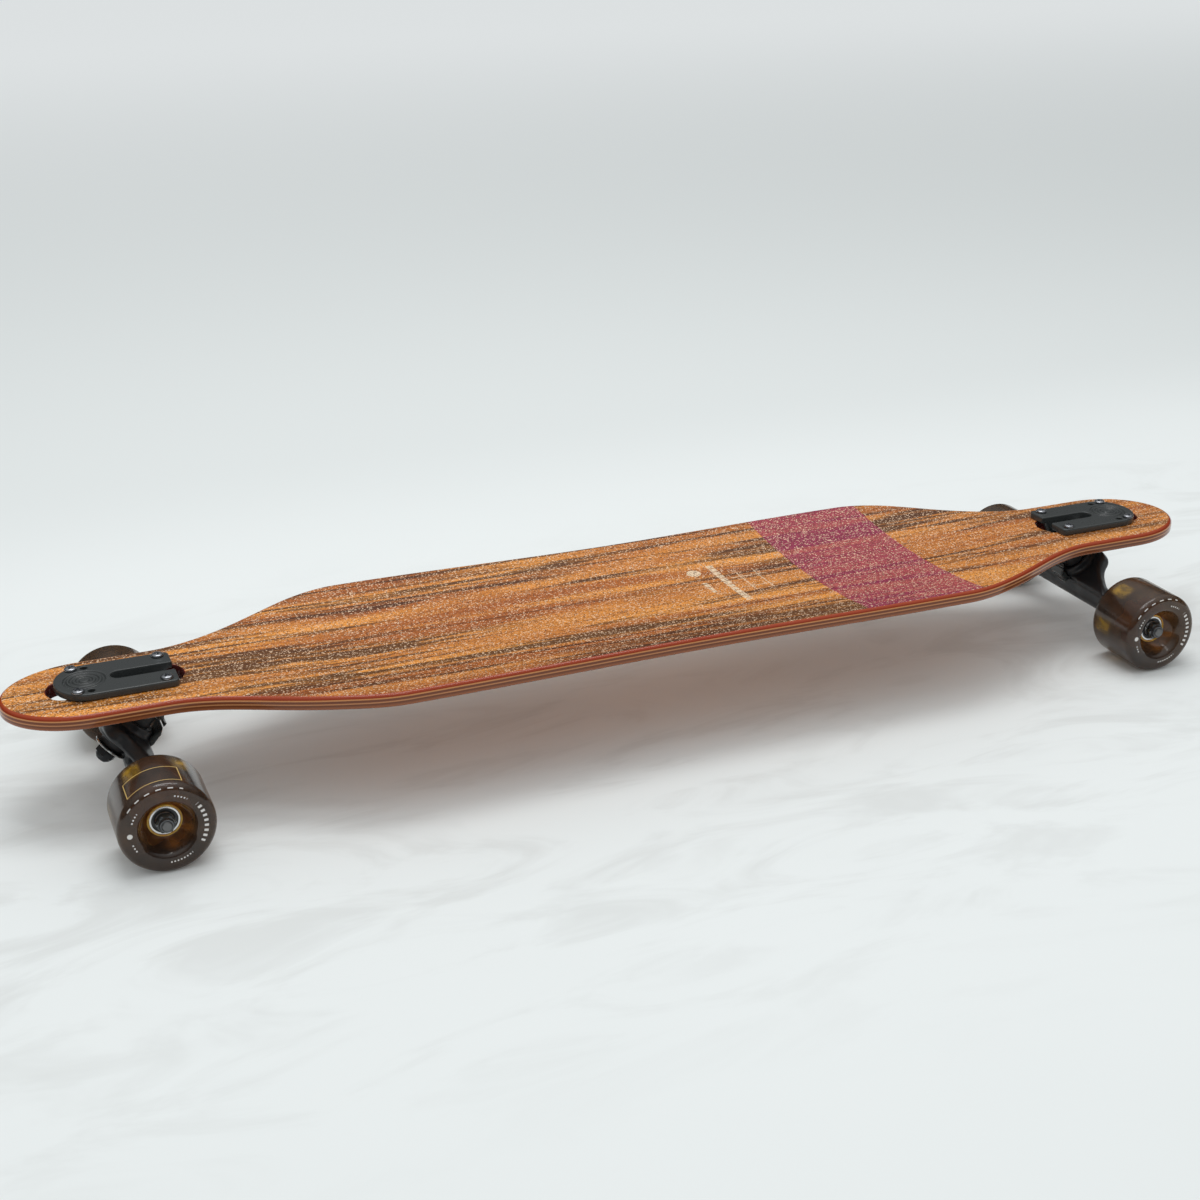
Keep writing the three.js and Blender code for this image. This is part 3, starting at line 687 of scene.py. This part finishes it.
def core_look():
    look = Look("amber_core")
    cloud = look.noise(look.coords, 90.0, 3.0, 0.6)
    colour = look.mix(look.between(cloud, 0.3, 0.7), (0.50, 0.24, 0.02), (0.68, 0.42, 0.06))
    normal = look.bump(look.noise(look.coords, 600.0, 2.0), 0.08)
    look.surface(Base_Color=colour, Roughness=0.3, Normal=normal,
                 Subsurface_Weight=0.3, Subsurface_Scale=0.004)
    return look.material


def rubber_look(name, colour):
    look = Look(name)
    fine = look.noise(look.coords, 500.0, 3.0, 0.6)
    shade = look.mix(look.between(fine, 0.3, 0.7), colour, tuple(c * 1.6 for c in colour))
    rough = look.between(fine, 0.3, 0.7, 0.45, 0.6)
    look.surface(Base_Color=shade, Roughness=rough, Normal=look.bump(fine, 0.1))
    return look.material


def floor_look():
    look = Look("paper_sweep")
    y = look.parts(look.coords)[1]
    cloud = look.noise(look.coords, 3.0, 3.0, 0.6)
    # behind the board the floor turns a darker grey, painted shade standing for the backdrop's unlit rise,
    # and far off it turns paler again
    far = look.between(y, 0.35, 0.75)
    beyond = look.between(y, 1.2, 5.5)
    # dark grey mottling round the board: a floor pattern darkened as painted shadow under the board
    painted_shadow_mottle = look.noise(look.stretched(look.coords, 5.0, 13.0, 1.0), 1.0, 4.0, 0.6, 1.5)
    painted_shadow_mottle = look.times(look.between(painted_shadow_mottle, 0.45, 0.7, 0.0, 0.22), look.within(y, -0.4, 0.3, 0.15))
    colour = look.mix(look.between(cloud, 0.3, 0.7, 0.0, 0.25), (0.79, 0.82, 0.815), (0.76, 0.79, 0.785))
    colour = look.mix(painted_shadow_mottle, colour, (0.45, 0.45, 0.43))
    colour = look.mix(far, colour, look.mix(beyond, (0.72, 0.75, 0.745), (0.97, 0.99, 0.99)))
    look.surface(Base_Color=colour, Roughness=0.8, Specular_IOR_Level=0.0)
    return look.material


LOOKS = {
    "deck": deck_look(),
    # one satin black finish in two copies: darker for the hanger as painted shade, paler for the baseplate,
    # whose top faces the sky, as painted light
    "cast": metal_look("satin_black_shaded_copy", (0.014, 0.015, 0.017), 0.36, 0.0, 1500.0, 0.12),
    "plate": metal_look("satin_black_plate_lit_copy", (0.034, 0.038, 0.038), 0.30, 0.0, 1500.0, 0.16),
    "dark": metal_look("black_oxide", (0.035, 0.037, 0.04), 0.32, 0.7),
    "bright": metal_look("bright_steel", (0.72, 0.72, 0.71), 0.22, 1.0),
    "bolt": metal_look("polished_dark_steel", (0.30, 0.31, 0.33), 0.16, 1.0),
    "nut": metal_look("grey_steel", (0.13, 0.135, 0.14), 0.28, 0.8),
    "axle": metal_look("axle_steel", (0.16, 0.16, 0.16), 0.34, 0.9),
    "shield": metal_look("bearing_shield", (0.05, 0.05, 0.052), 0.35, 0.6),
    "front_tyre": tyre_look("smoky_urethane", False),
    "rear_tyre": tyre_look("smoky_urethane_framed", True),
    "core": core_look(),
    "bushing": rubber_look("bushing_urethane", (0.014, 0.014, 0.015)),
    "cup": rubber_look("pivot_cup_urethane", (0.03, 0.03, 0.032)),
}


# ---------------- deck

def half_width(x):
    a = np.abs(x)
    rail = WAIST + (WIDEST - WAIST) * ease(a / WIDEST_AT)
    taper = ease((TAPER_TO - a) / (TAPER_TO - TAPER_FROM))
    straight = NECK + (rail - NECK) * taper
    into = np.maximum(0, a - DECK_HALF_LENGTH + TIP) / TIP
    return straight * np.sqrt(np.maximum(0, 1 - into ** 2))


def deck_top(x, y):
    a = np.abs(x)
    drop = ROCKER * ease((ROCKER_TO - a) / (ROCKER_TO - ROCKER_FROM))
    rise = CONCAVE * ease((CONCAVE_TO - a) / (CONCAVE_TO - CONCAVE_FROM))
    return DECK_TOP - drop + rise * (y / CONCAVE_AT) ** 2


def with_normals(loop):
    """A closed counter-clockwise loop and its outward normals."""
    tangent = np.roll(loop, -1, 0) - np.roll(loop, 1, 0)
    tangent /= np.hypot(tangent[:, 0], tangent[:, 1])[:, None]
    return loop, np.column_stack([tangent[:, 1], -tangent[:, 0]])


def deck_outline():
    """The plan outline, counter-clockwise, and its outward normals."""
    tip_start = DECK_HALF_LENGTH - TIP
    straight = np.arange(-tip_start, tip_start, 5.0)
    rail = np.column_stack([straight, -half_width(straight)])
    right_x = tip_start + TIP * np.cos(np.radians(np.linspace(90, 0, 25)))
    right = np.column_stack([right_x, -half_width(right_x)])
    right[-1] = (DECK_HALF_LENGTH, 0.0)
    lower = np.vstack([rail, right])
    upper = lower[::-1][1:] * (1, -1)
    left_x = -(tip_start + TIP * np.sin(np.radians(np.linspace(0, 90, 25))[1:]))
    left = np.column_stack([left_x, half_width(left_x)])
    left[-1] = (-DECK_HALF_LENGTH, 0.0)
    loop = np.vstack([lower, upper, left, left[::-1][1:] * (1, -1)])
    apart = np.hypot(*(loop - np.roll(loop, 1, 0)).T) > 0.05
    return with_normals(loop[apart])


def opening_outline(end):
    """The opening's plan outline at one end of the deck, counter-clockwise, with its outward normals."""
    o = OPENING
    points = []
    corners = [(o["to"], -1, -90), (o["to"], 1, 0), (o["from"], 1, 90), (o["from"], -1, 180)]
    for x, side, start in corners:
        cx = x - o["corner"] if x == o["to"] else x + o["corner"]
        cy = side * (o["half"] - o["corner"])
        for a in np.radians(np.linspace(start, start + 90, 9)):
            points.append((cx + o["corner"] * math.cos(a), cy + o["corner"] * math.sin(a)))
    return with_normals(np.array(points) * (end, end))


def circle_outline(cx, cy, radius, count=16):
    a = turns(count)
    normal = np.column_stack([np.cos(a), np.sin(a)])
    return normal * radius + (cx, cy), normal


def mesh_face(loops, holes, spacing):
    """Triangulates the area inside the first loop and outside the others, with a grid of inner points."""
    edges, points = [], []
    for loop in loops:
        first = len(points)
        points += [tuple(q) for q in loop]
        edges += [(first + i, first + (i + 1) % len(loop)) for i in range(len(loop))]
    low, high = loops[0].min(0), loops[0].max(0)
    for gx in np.arange(low[0] + spacing, high[0], spacing):
        limit = half_width(np.array([gx]))[0] - TOP_ROUND - spacing * 0.6
        if limit <= 0:
            continue
        for gy in np.linspace(-limit, limit, max(2, int(2 * limit / spacing) + 1)):
            if not any(near(gx, gy, spacing * 0.4) for near in holes):
                points.append((gx, gy))
    result = geometry.delaunay_2d_cdt([Vector(q) for q in points], edges, [], 1, 1e-4)
    verts = np.array([(v.x, v.y) for v in result[0]])
    faces = []
    for face in result[2]:
        middle = verts[list(face)].mean(0)
        if not any(near(middle[0], middle[1], 0.0) for near in holes):
            faces.append(list(face))
    return verts, faces


def make_deck():
    outline, normals = deck_outline()
    hole_loops = [opening_outline(end) for end in (1, -1)]
    tests = [lambda x, y, m, e=end: in_opening(x * e, y, m) for end in (1, -1)]
    for end in (1, -1):
        for along in (1, -1):
            for side in (1, -1):
                cx = end * (HOLE_MIDDLE + along * HOLE_ALONG / 2)
                cy = side * HOLE_ACROSS / 2
                hole_loops.append(circle_outline(cx, cy, HOLE_RADIUS))
                tests.append(lambda x, y, m, cx=cx, cy=cy: math.hypot(x - cx, y - cy) < HOLE_RADIUS + m)
    verts, faces, depths = [], [], []

    def add(points, depth):
        first = sum(len(v) for v in verts)
        z = deck_top(points[:, 0], points[:, 1]) - depth
        verts.append(np.column_stack([points, z]))
        depths.append(np.full(len(points), 0.0) + depth)
        return first

    def walls(loop, normal, profile, outward, shade_painted_wall=False):
        starts = [add(loop - normal * inset * outward, depth) for inset, depth in profile]
        if shade_painted_wall:
            for row in range(1, len(profile) - 1):
                depths[row - len(profile)] = np.full(len(loop), WALL_SHADE_DEPTH * DECK_THICKNESS)
        n = len(loop)
        for a, b in zip(starts, starts[1:]):
            for i in range(n):
                k = (i + 1) % n
                quad = (a + i, b + i, b + k, a + k)
                faces.append(quad if outward > 0 else quad[::-1])
        return starts

    def rim(top_round, bottom_round, steps):
        profile = []
        for a in np.radians(np.linspace(0, 90, steps + 1)):
            profile.append((top_round * (1 - math.sin(a)), top_round * (1 - math.cos(a))))
        for a in np.radians(np.linspace(0, 90, steps + 1)):
            depth = DECK_THICKNESS - bottom_round * (1 - math.sin(a))
            profile.append((bottom_round * (1 - math.cos(a)), depth))
        return profile

    rail = rim(TOP_ROUND, BOTTOM_ROUND, 5)
    lip = rim(1.2, 1.2, 2)
    bolt = [(0.0, 0.0), (0.0, DECK_THICKNESS)]
    walls(outline, normals, rail, 1)
    for index, (loop, normal) in enumerate(hole_loops):
        walls(loop, normal, lip if index < 2 else bolt, -1, shade_painted_wall=index < 2)
    for which, depth in ((0, 0.0), (-1, DECK_THICKNESS)):
        inset = rail[which][0]
        loops = [outline - normals * inset]
        for index, (loop, normal) in enumerate(hole_loops):
            grow = lip[which][0] if index < 2 else 0.0
            loops.append(loop + normal * grow)
        plan, triangles = mesh_face(loops, tests, 7.0)
        first = add(plan, depth)
        for t in triangles:
            a, b, c = (plan[i] for i in t)
            area = (b[0] - a[0]) * (c[1] - a[1]) - (b[1] - a[1]) * (c[0] - a[0])
            t = t if (area > 0) == (which == 0) else t[::-1]
            faces.append(tuple(first + i for i in t))
    points = np.concatenate(verts)
    deck = make("deck_board", points, faces, "deck", "deck", ["deck"], "wood", sharp=0)
    values = (np.concatenate(depths) / DECK_THICKNESS).astype(np.float32)
    attribute = deck.data.attributes.new("depth", "FLOAT", "POINT")
    attribute.data.foreach_set("value", values)
    weld(deck)


def in_opening(x, y, margin):
    o = OPENING
    dx = abs(x - (o["from"] + o["to"]) / 2) - (o["to"] - o["from"]) / 2 + o["corner"]
    dy = abs(y) - o["half"] + o["corner"]
    outside = math.hypot(max(dx, 0), max(dy, 0)) + min(max(dx, dy), 0) - o["corner"]
    return outside < margin


def weld(obj, distance=0.01):
    """Joins points that coincide, so that the shading runs smoothly across strips."""
    bm = bmesh.new()
    bm.from_mesh(obj.data)
    bmesh.ops.remove_doubles(bm, verts=bm.verts, dist=distance * MM)
    bm.to_mesh(obj.data)
    bm.free()


# ---------------- trucks

def truck_place(front):
    turn = Matrix.Identity(4) if front > 0 else Matrix.Rotation(math.pi, 4, "Z")
    return placed(front * HOLE_MIDDLE, 0, DECK_TOP) @ turn


def steering_place(front):
    return truck_place(front) @ placed(RING["x"], 0, RING["z"]) @ Matrix.Rotation(-SLOPE, 4, "Y")


def bolt_head():
    """A pan head with a cross recess, standing on Z = 0 with its shank below."""
    around, steps = 64, 14
    radius, height = BOLT["head_radius"], BOLT["head"]
    verts = []
    angles = turns(around)
    shank = [(BOLT["radius"], -BOLT["length"]), (BOLT["radius"], 0.0)]
    shank += [(radius, 0.0), (radius, height * 0.25)]
    for r, z in shank:
        verts.append(np.column_stack([r * np.cos(angles), r * np.sin(angles), np.full(around, z)]))
    for i in range(1, steps):
        r = radius * (1 - i / steps)
        x, y = r * np.cos(angles), r * np.sin(angles)
        dome = height * (0.25 + 0.75 * np.sqrt(1 - (r / radius) ** 2.6))
        arm = np.minimum(np.abs(x), np.abs(y))
        reach = np.maximum(np.abs(x), np.abs(y))
        cross = (1 - ease((arm - 0.45) / 0.35)) * (1 - ease((reach - 2.4) / 0.5))
        verts.append(np.column_stack([x, y, dome - 1.5 * cross]))
    points = np.concatenate(verts)
    faces = ring_faces(len(verts), around)
    top = len(points)
    points = np.vstack([points, [0, 0, height - 1.5], [0, 0, -BOLT["length"]]])
    last = (len(verts) - 1) * around
    for j in range(around):
        k = (j + 1) % around
        faces.append((top, last + j, last + k))
        faces.append((top + 1, k, j))
    return points, faces


def make_fasteners(prefix, front):
    place = truck_place(front)
    head = bolt_head()
    for where, along in (("outer", 1), ("inner", -1)):
        for hand, side in (("a", 1), ("b", -1)):
            x, y = along * HOLE_ALONG / 2, side * HOLE_ACROSS / 2
            turn = Matrix.Rotation(math.radians(20 + 35 * (along + 2 * side)), 4, "Z")
            name = f"{prefix}_{where}_bolt_{hand}"
            make(f"{name}_head", *head, "bolt", "deck", [name], "dark_steel",
                 place @ placed(x, y, PLATE_THICKNESS + GAP) @ turn)
            name = f"{prefix}_{where}_locknut_{hand}"
            flip = Matrix.Rotation(math.pi, 4, "X")
            make(f"{name}_hex", *locknut(LOCKNUT, BOLT["radius"] + 0.2), "dark", "deck",
                 [name], "dark_steel", place @ placed(x, y, -DECK_THICKNESS - GAP) @ flip)


def make_kingpin_parts(prefix, front):
    place = steering_place(front)
    low = -NUT_FACE - KINGPIN_NUT["height"]
    head_at = SEAT + KINGPIN["seat"] + GAP
    r = KINGPIN["radius"]
    pin = [(0, low - 1.5), (r - 0.8, low - 1.5), (r, low - 0.7), (r, head_at - 0.2), (0, head_at - 0.2)]
    verts, faces = turned(pin, 40)
    more, more_faces = nut(KINGPIN["head_radius"], KINGPIN["head"], 0.6)
    more = more + (0, 0, head_at)
    joined = [tuple(i + len(verts) for i in f) for f in more_faces]
    make(f"{prefix}_kingpin_bolt", np.vstack([verts, more]), faces + joined, "dark", "deck",
         [f"{prefix}_kingpin"], "dark_steel", place)
    flip = Matrix.Rotation(math.pi, 4, "X")
    make(f"{prefix}_kingpin_locknut", *locknut(KINGPIN_NUT, r + GAP), "dark", "deck",
         [f"{prefix}_kingpin_nut"], "dark_steel", place @ placed(0, 0, -NUT_FACE) @ flip)
    for name, face in (("boardside", SEAT - GAP - WASHER["thickness"]), ("roadside", GAP - NUT_FACE)):
        t, outer, bore = WASHER["thickness"], WASHER["radius"], r + GAP
        washer = [(bore, face), (outer - 0.4, face), (outer, face + 0.4), (outer, face + t - 0.4)]
        washer += [(outer - 0.4, face + t), (bore, face + t)]
        make(f"{prefix}_{name}_cup_washer", *turned(washer, 72), "bright", "deck",
             [f"{prefix}_{name}_washer"], "steel", place)
    outer, bore, base = BUSHING["radius"], BUSHING["bore"], RING["half"] + GAP
    h, low = BUSHING["boardside"], BUSHING["roadside"]
    barrel = [(bore, base), (outer - 0.6, base), (outer, base + 1.2)]
    barrel += [(outer - 0.9, base + h / 2), (outer, base + h - 1.2)]
    barrel += [(outer - 0.6, base + h), (bore, base + h)]
    cone = [(bore, -base - low), (outer * 0.76, -base - low), (outer * 0.8, -base - low + 0.8)]
    cone += [(outer, -base - 2), (outer, -base - 0.5), (outer - 0.5, -base), (bore, -base)]
    for name, profile, held in (("boardside", barrel, base + h), ("roadside", cone, -base - low)):
        rubber = make(f"{prefix}_{name}_bushing_rubber", *turned(profile, 72), "bushing", None,
                      [f"{prefix}_{name}_bushing"], "bushing", place)
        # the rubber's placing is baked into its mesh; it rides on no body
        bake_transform(rubber)


def make_castings(prefix, front):
    verts, faces = cast(hanger_field, (-30, -92, -31), (21, 92, 10), 1.0)
    make(f"{prefix}_hanger_casting", verts, faces, "cast", f"{prefix}_hanger",
         [f"{prefix}_hanger"], "cast_black", steering_place(front), sharp=0)
    verts, faces = cast(baseplate_field, (-44, -29, -62), (49, 29, 8), 0.6)
    make(f"{prefix}_baseplate_casting", verts, faces, "plate", "deck",
         [f"{prefix}_baseplate"], "cast_black", truck_place(front), sharp=0)


def make_pivot_cup(prefix, front):
    low, high, r, bore = CUP["from"], CUP["to"], CUP["radius"], CUP["bore"]
    cup = [(0, low), (r - 0.5, low), (r, low + 0.5), (r, high - 0.4), (r - 0.4, high), (bore + 0.3, high)]
    cup += [(bore, high - 0.3), (bore, low + 3.8), (2.7, low + CUP["floor"]), (0, low + CUP["floor"])]
    along = Matrix.Rotation(math.pi / 2, 4, "Y")
    make(f"{prefix}_pivot_cup_liner", *turned(cup, 64), "cup", "deck", [f"{prefix}_pivot_cup"], "cup",
         steering_place(front) @ along)


def make_axle(prefix, front):
    r, h = AXLE_RADIUS, AXLE_HALF
    rod = [(0, -h), (r - 0.7, -h), (r, -h + 0.7), (r, h - 0.7), (r - 0.7, h), (0, h)]
    across = Matrix.Rotation(math.pi / 2, 4, "X")
    make(f"{prefix}_axle_rod", *turned(rod, 48), "axle", f"{prefix}_hanger",
         [f"{prefix}_axle"], "steel", steering_place(front) @ placed(BEAM["s"], 0, BEAM["up"]) @ across)


# ---------------- wheels

def make_tyre():
    w = WHEEL
    face, r, lip = w["half"], w["radius"], w["lip"]
    side = [(BEARING["radius"] + 1.5, face - w["dish"] - 1.0), (w["open"] - 4.5, face - w["dish"])]
    side += [(w["open"] - 1, face - 6.5), (w["open"] + 1.2, face - 2.2), (w["open"] + 2.4, face - 0.6)]
    side += [(w["open"] + 4.2, face)]
    side += arc(r - lip, face - lip, lip, 90, 0, 9)
    lower = [(x, -z) for x, z in side]
    return turned([*lower, *side[::-1]], 128)


def make_core():
    around, rows = 96, []
    angles = turns(around)
    wave = 0.5 + 0.5 * np.cos(CORE["lobes"] * angles)
    rim = CORE["hub"] + (CORE["lobe"] - CORE["hub"]) * wave
    seat = BEARING["low"] - 0.15
    bearing = BEARING["radius"] + 0.15
    outer = BEARING["low"] + BEARING["width"] + 0.5
    circle = np.column_stack([np.cos(angles), np.sin(angles)])

    def row(radii, z):
        rows.append(np.column_stack([circle * np.reshape(radii, (-1, 1)), np.full(around, z)]))

    for sign in (-1, 1):
        steps = [(bearing + 0.2, outer), (bearing + 1.0, outer)]
        steps += [(bearing + 1.6, outer - 2.0), (None, outer - 2.6)]
        for radii, z in (steps if sign < 0 else steps[::-1]):
            row(rim if radii is None else np.full(around, radii), sign * z)
    row(np.full(around, bearing), outer - 0.3)
    row(np.full(around, bearing), seat)
    row(np.full(around, CORE["bore"]), seat)
    row(np.full(around, CORE["bore"]), -seat)
    row(np.full(around, bearing), -seat)
    row(np.full(around, bearing), -outer + 0.3)
    return np.concatenate(rows), ring_faces(len(rows), around, closed_rows=True)


def make_bearing(name, place, body, node):
    b = BEARING
    low, high = b["low"], b["low"] + b["width"]
    race = [(b["radius"] - 1.9, low + 0.4), (b["radius"] - 1.7, low), (b["radius"] - 0.3, low)]
    race += [(b["radius"], low + 0.3), (b["radius"], high - 0.3), (b["radius"] - 0.3, high)]
    race += [(b["radius"] - 1.5, high), (b["radius"] - 1.8, high - 0.4)]
    outer = turned(race, 96)
    shield = [(b["race"] + 0.5, low + 0.6), (b["radius"] - 1.8, low + 0.6), (b["radius"] - 1.8, high - 0.7)]
    shield += [(b["radius"] - 2.6, high - 0.45), (b["race"] + 1.0, high - 0.5), (b["race"] + 0.5, high - 0.7)]
    inner = [(b["bore"], 0.15), (5.3, 0.15), (5.3, low), (b["race"], low), (b["race"] + 0.3, low + 0.3)]
    inner += [(b["race"] + 0.3, high - 0.3), (b["race"], high), (5.6, high)]
    inner += [(5.6, high + 0.6), (b["bore"], high + 0.6)]
    make(f"{name}_race", *outer, "bright", body, [node], "steel", place)
    make(f"{name}_shield", *turned(shield, 96), "shield", body, [], "steel", place)
    make(f"{name}_inner_race", *turned(inner, 96), "bright", body, [], "steel", place)


def make_wheel(prefix, hand):
    name = f"{prefix}_{hand}"
    side = 1 if hand == "left" else -1
    centre = Matrix.Translation(Vector(JOINTS[f"{name}_spin"]["pos_m"]))
    place = centre @ Matrix.Rotation(-side * math.pi / 2, 4, "X")
    body = f"{name}_wheel"
    make(f"{name}_tyre_urethane", *make_tyre(), f"{prefix}_tyre", body, [f"{name}_tyre"], "urethane",
         place, sharp=50)
    make(f"{name}_core_hub", *make_core(), "core", body, [f"{name}_core"], "core", place)
    make_bearing(f"{name}_outer_bearing", place, body, f"{name}_outer_bearing")
    turn = Matrix.Rotation(math.pi, 4, "X")
    make_bearing(f"{name}_inner_bearing", place @ turn, body, f"{name}_inner_bearing")
    at = BEARING["low"] + BEARING["width"] + 0.6 + GAP
    make(f"{name}_axle_locknut", *locknut(AXLE_NUT, AXLE_RADIUS + 0.2), "nut",
         f"{prefix}_hanger", [f"{name}_axle_nut"], "dark_steel", place @ placed(0, 0, at))


make_deck()
for prefix, front in (("front", 1), ("rear", -1)):
    make_castings(prefix, front)
    make_fasteners(prefix, front)
    make_kingpin_parts(prefix, front)
    make_pivot_cup(prefix, front)
    make_axle(prefix, front)
    for hand in ("left", "right"):
        make_wheel(prefix, hand)


# ---------------- stage, light and camera

def make_stage():
    bpy.ops.mesh.primitive_plane_add(size=30)
    floor = bpy.context.object
    floor.name = "floor"
    floor.data.materials.append(floor_look())


def area_light(name, place, aim, size, power):
    data = bpy.data.lights.new(name, "AREA")
    data.shape = "RECTANGLE"
    data.size, data.size_y = size
    data.energy = power
    lamp = bpy.data.objects.new(name, data)
    lamp.location = place
    lamp.rotation_euler = (Vector(aim) - Vector(place)).to_track_quat("-Z", "Y").to_euler()
    bpy.context.scene.collection.objects.link(lamp)


def make_light():
    """An even pale surround, darker near the horizon in reflections, with two lamps for the highlights."""
    world = bpy.data.worlds.new("studio")
    world.use_nodes = True
    tree = world.node_tree
    background = tree.nodes["Background"]
    coords = tree.nodes.new("ShaderNodeTexCoord")
    parts = tree.nodes.new("ShaderNodeSeparateXYZ")
    sky = tree.nodes.new("ShaderNodeMapRange")
    path = tree.nodes.new("ShaderNodeLightPath")
    chosen = tree.nodes.new("ShaderNodeMix")
    sky.inputs["From Min"].default_value = 0.3
    sky.inputs["From Max"].default_value = 0.9
    sky.inputs["To Min"].default_value = 0.06
    sky.inputs["To Max"].default_value = 0.9
    chosen.inputs[2].default_value = 0.76
    tree.links.new(coords.outputs["Generated"], parts.inputs[0])
    tree.links.new(parts.outputs[2], sky.inputs["Value"])
    tree.links.new(path.outputs["Is Glossy Ray"], chosen.inputs[0])
    tree.links.new(sky.outputs[0], chosen.inputs[3])
    tree.links.new(chosen.outputs[0], background.inputs["Strength"])
    background.inputs["Color"].default_value = (0.97, 0.99, 1.0, 1)
    bpy.context.scene.world = world
    area_light("overhead", (0.1, 0.4, 2.4), (0, 0, 0), (1.8, 0.8), 18)
    area_light("edge_strip", (-0.3, -0.3, 2.0), (0, 0, 0), (1.1, 0.07), 3)


def make_camera():
    data = bpy.data.cameras.new("camera")
    data.sensor_width = 36
    data.lens = 54.36
    camera = bpy.data.objects.new("camera", data)
    bpy.context.scene.collection.objects.link(camera)
    yaw, pitch, roll = math.radians(22.34), math.radians(-22.86), math.radians(-0.37)
    aim = Matrix.Rotation(-yaw, 4, "Z") @ Matrix.Rotation(math.pi / 2 + pitch, 4, "X")
    camera.matrix_world = Matrix.Translation((-0.5583, -1.2505, 0.6640)) @ aim @ Matrix.Rotation(roll, 4, "Z")
    bpy.context.scene.camera = camera


make_stage()
make_light()
make_camera()
bpy.context.scene.view_settings.view_transform = "Standard"
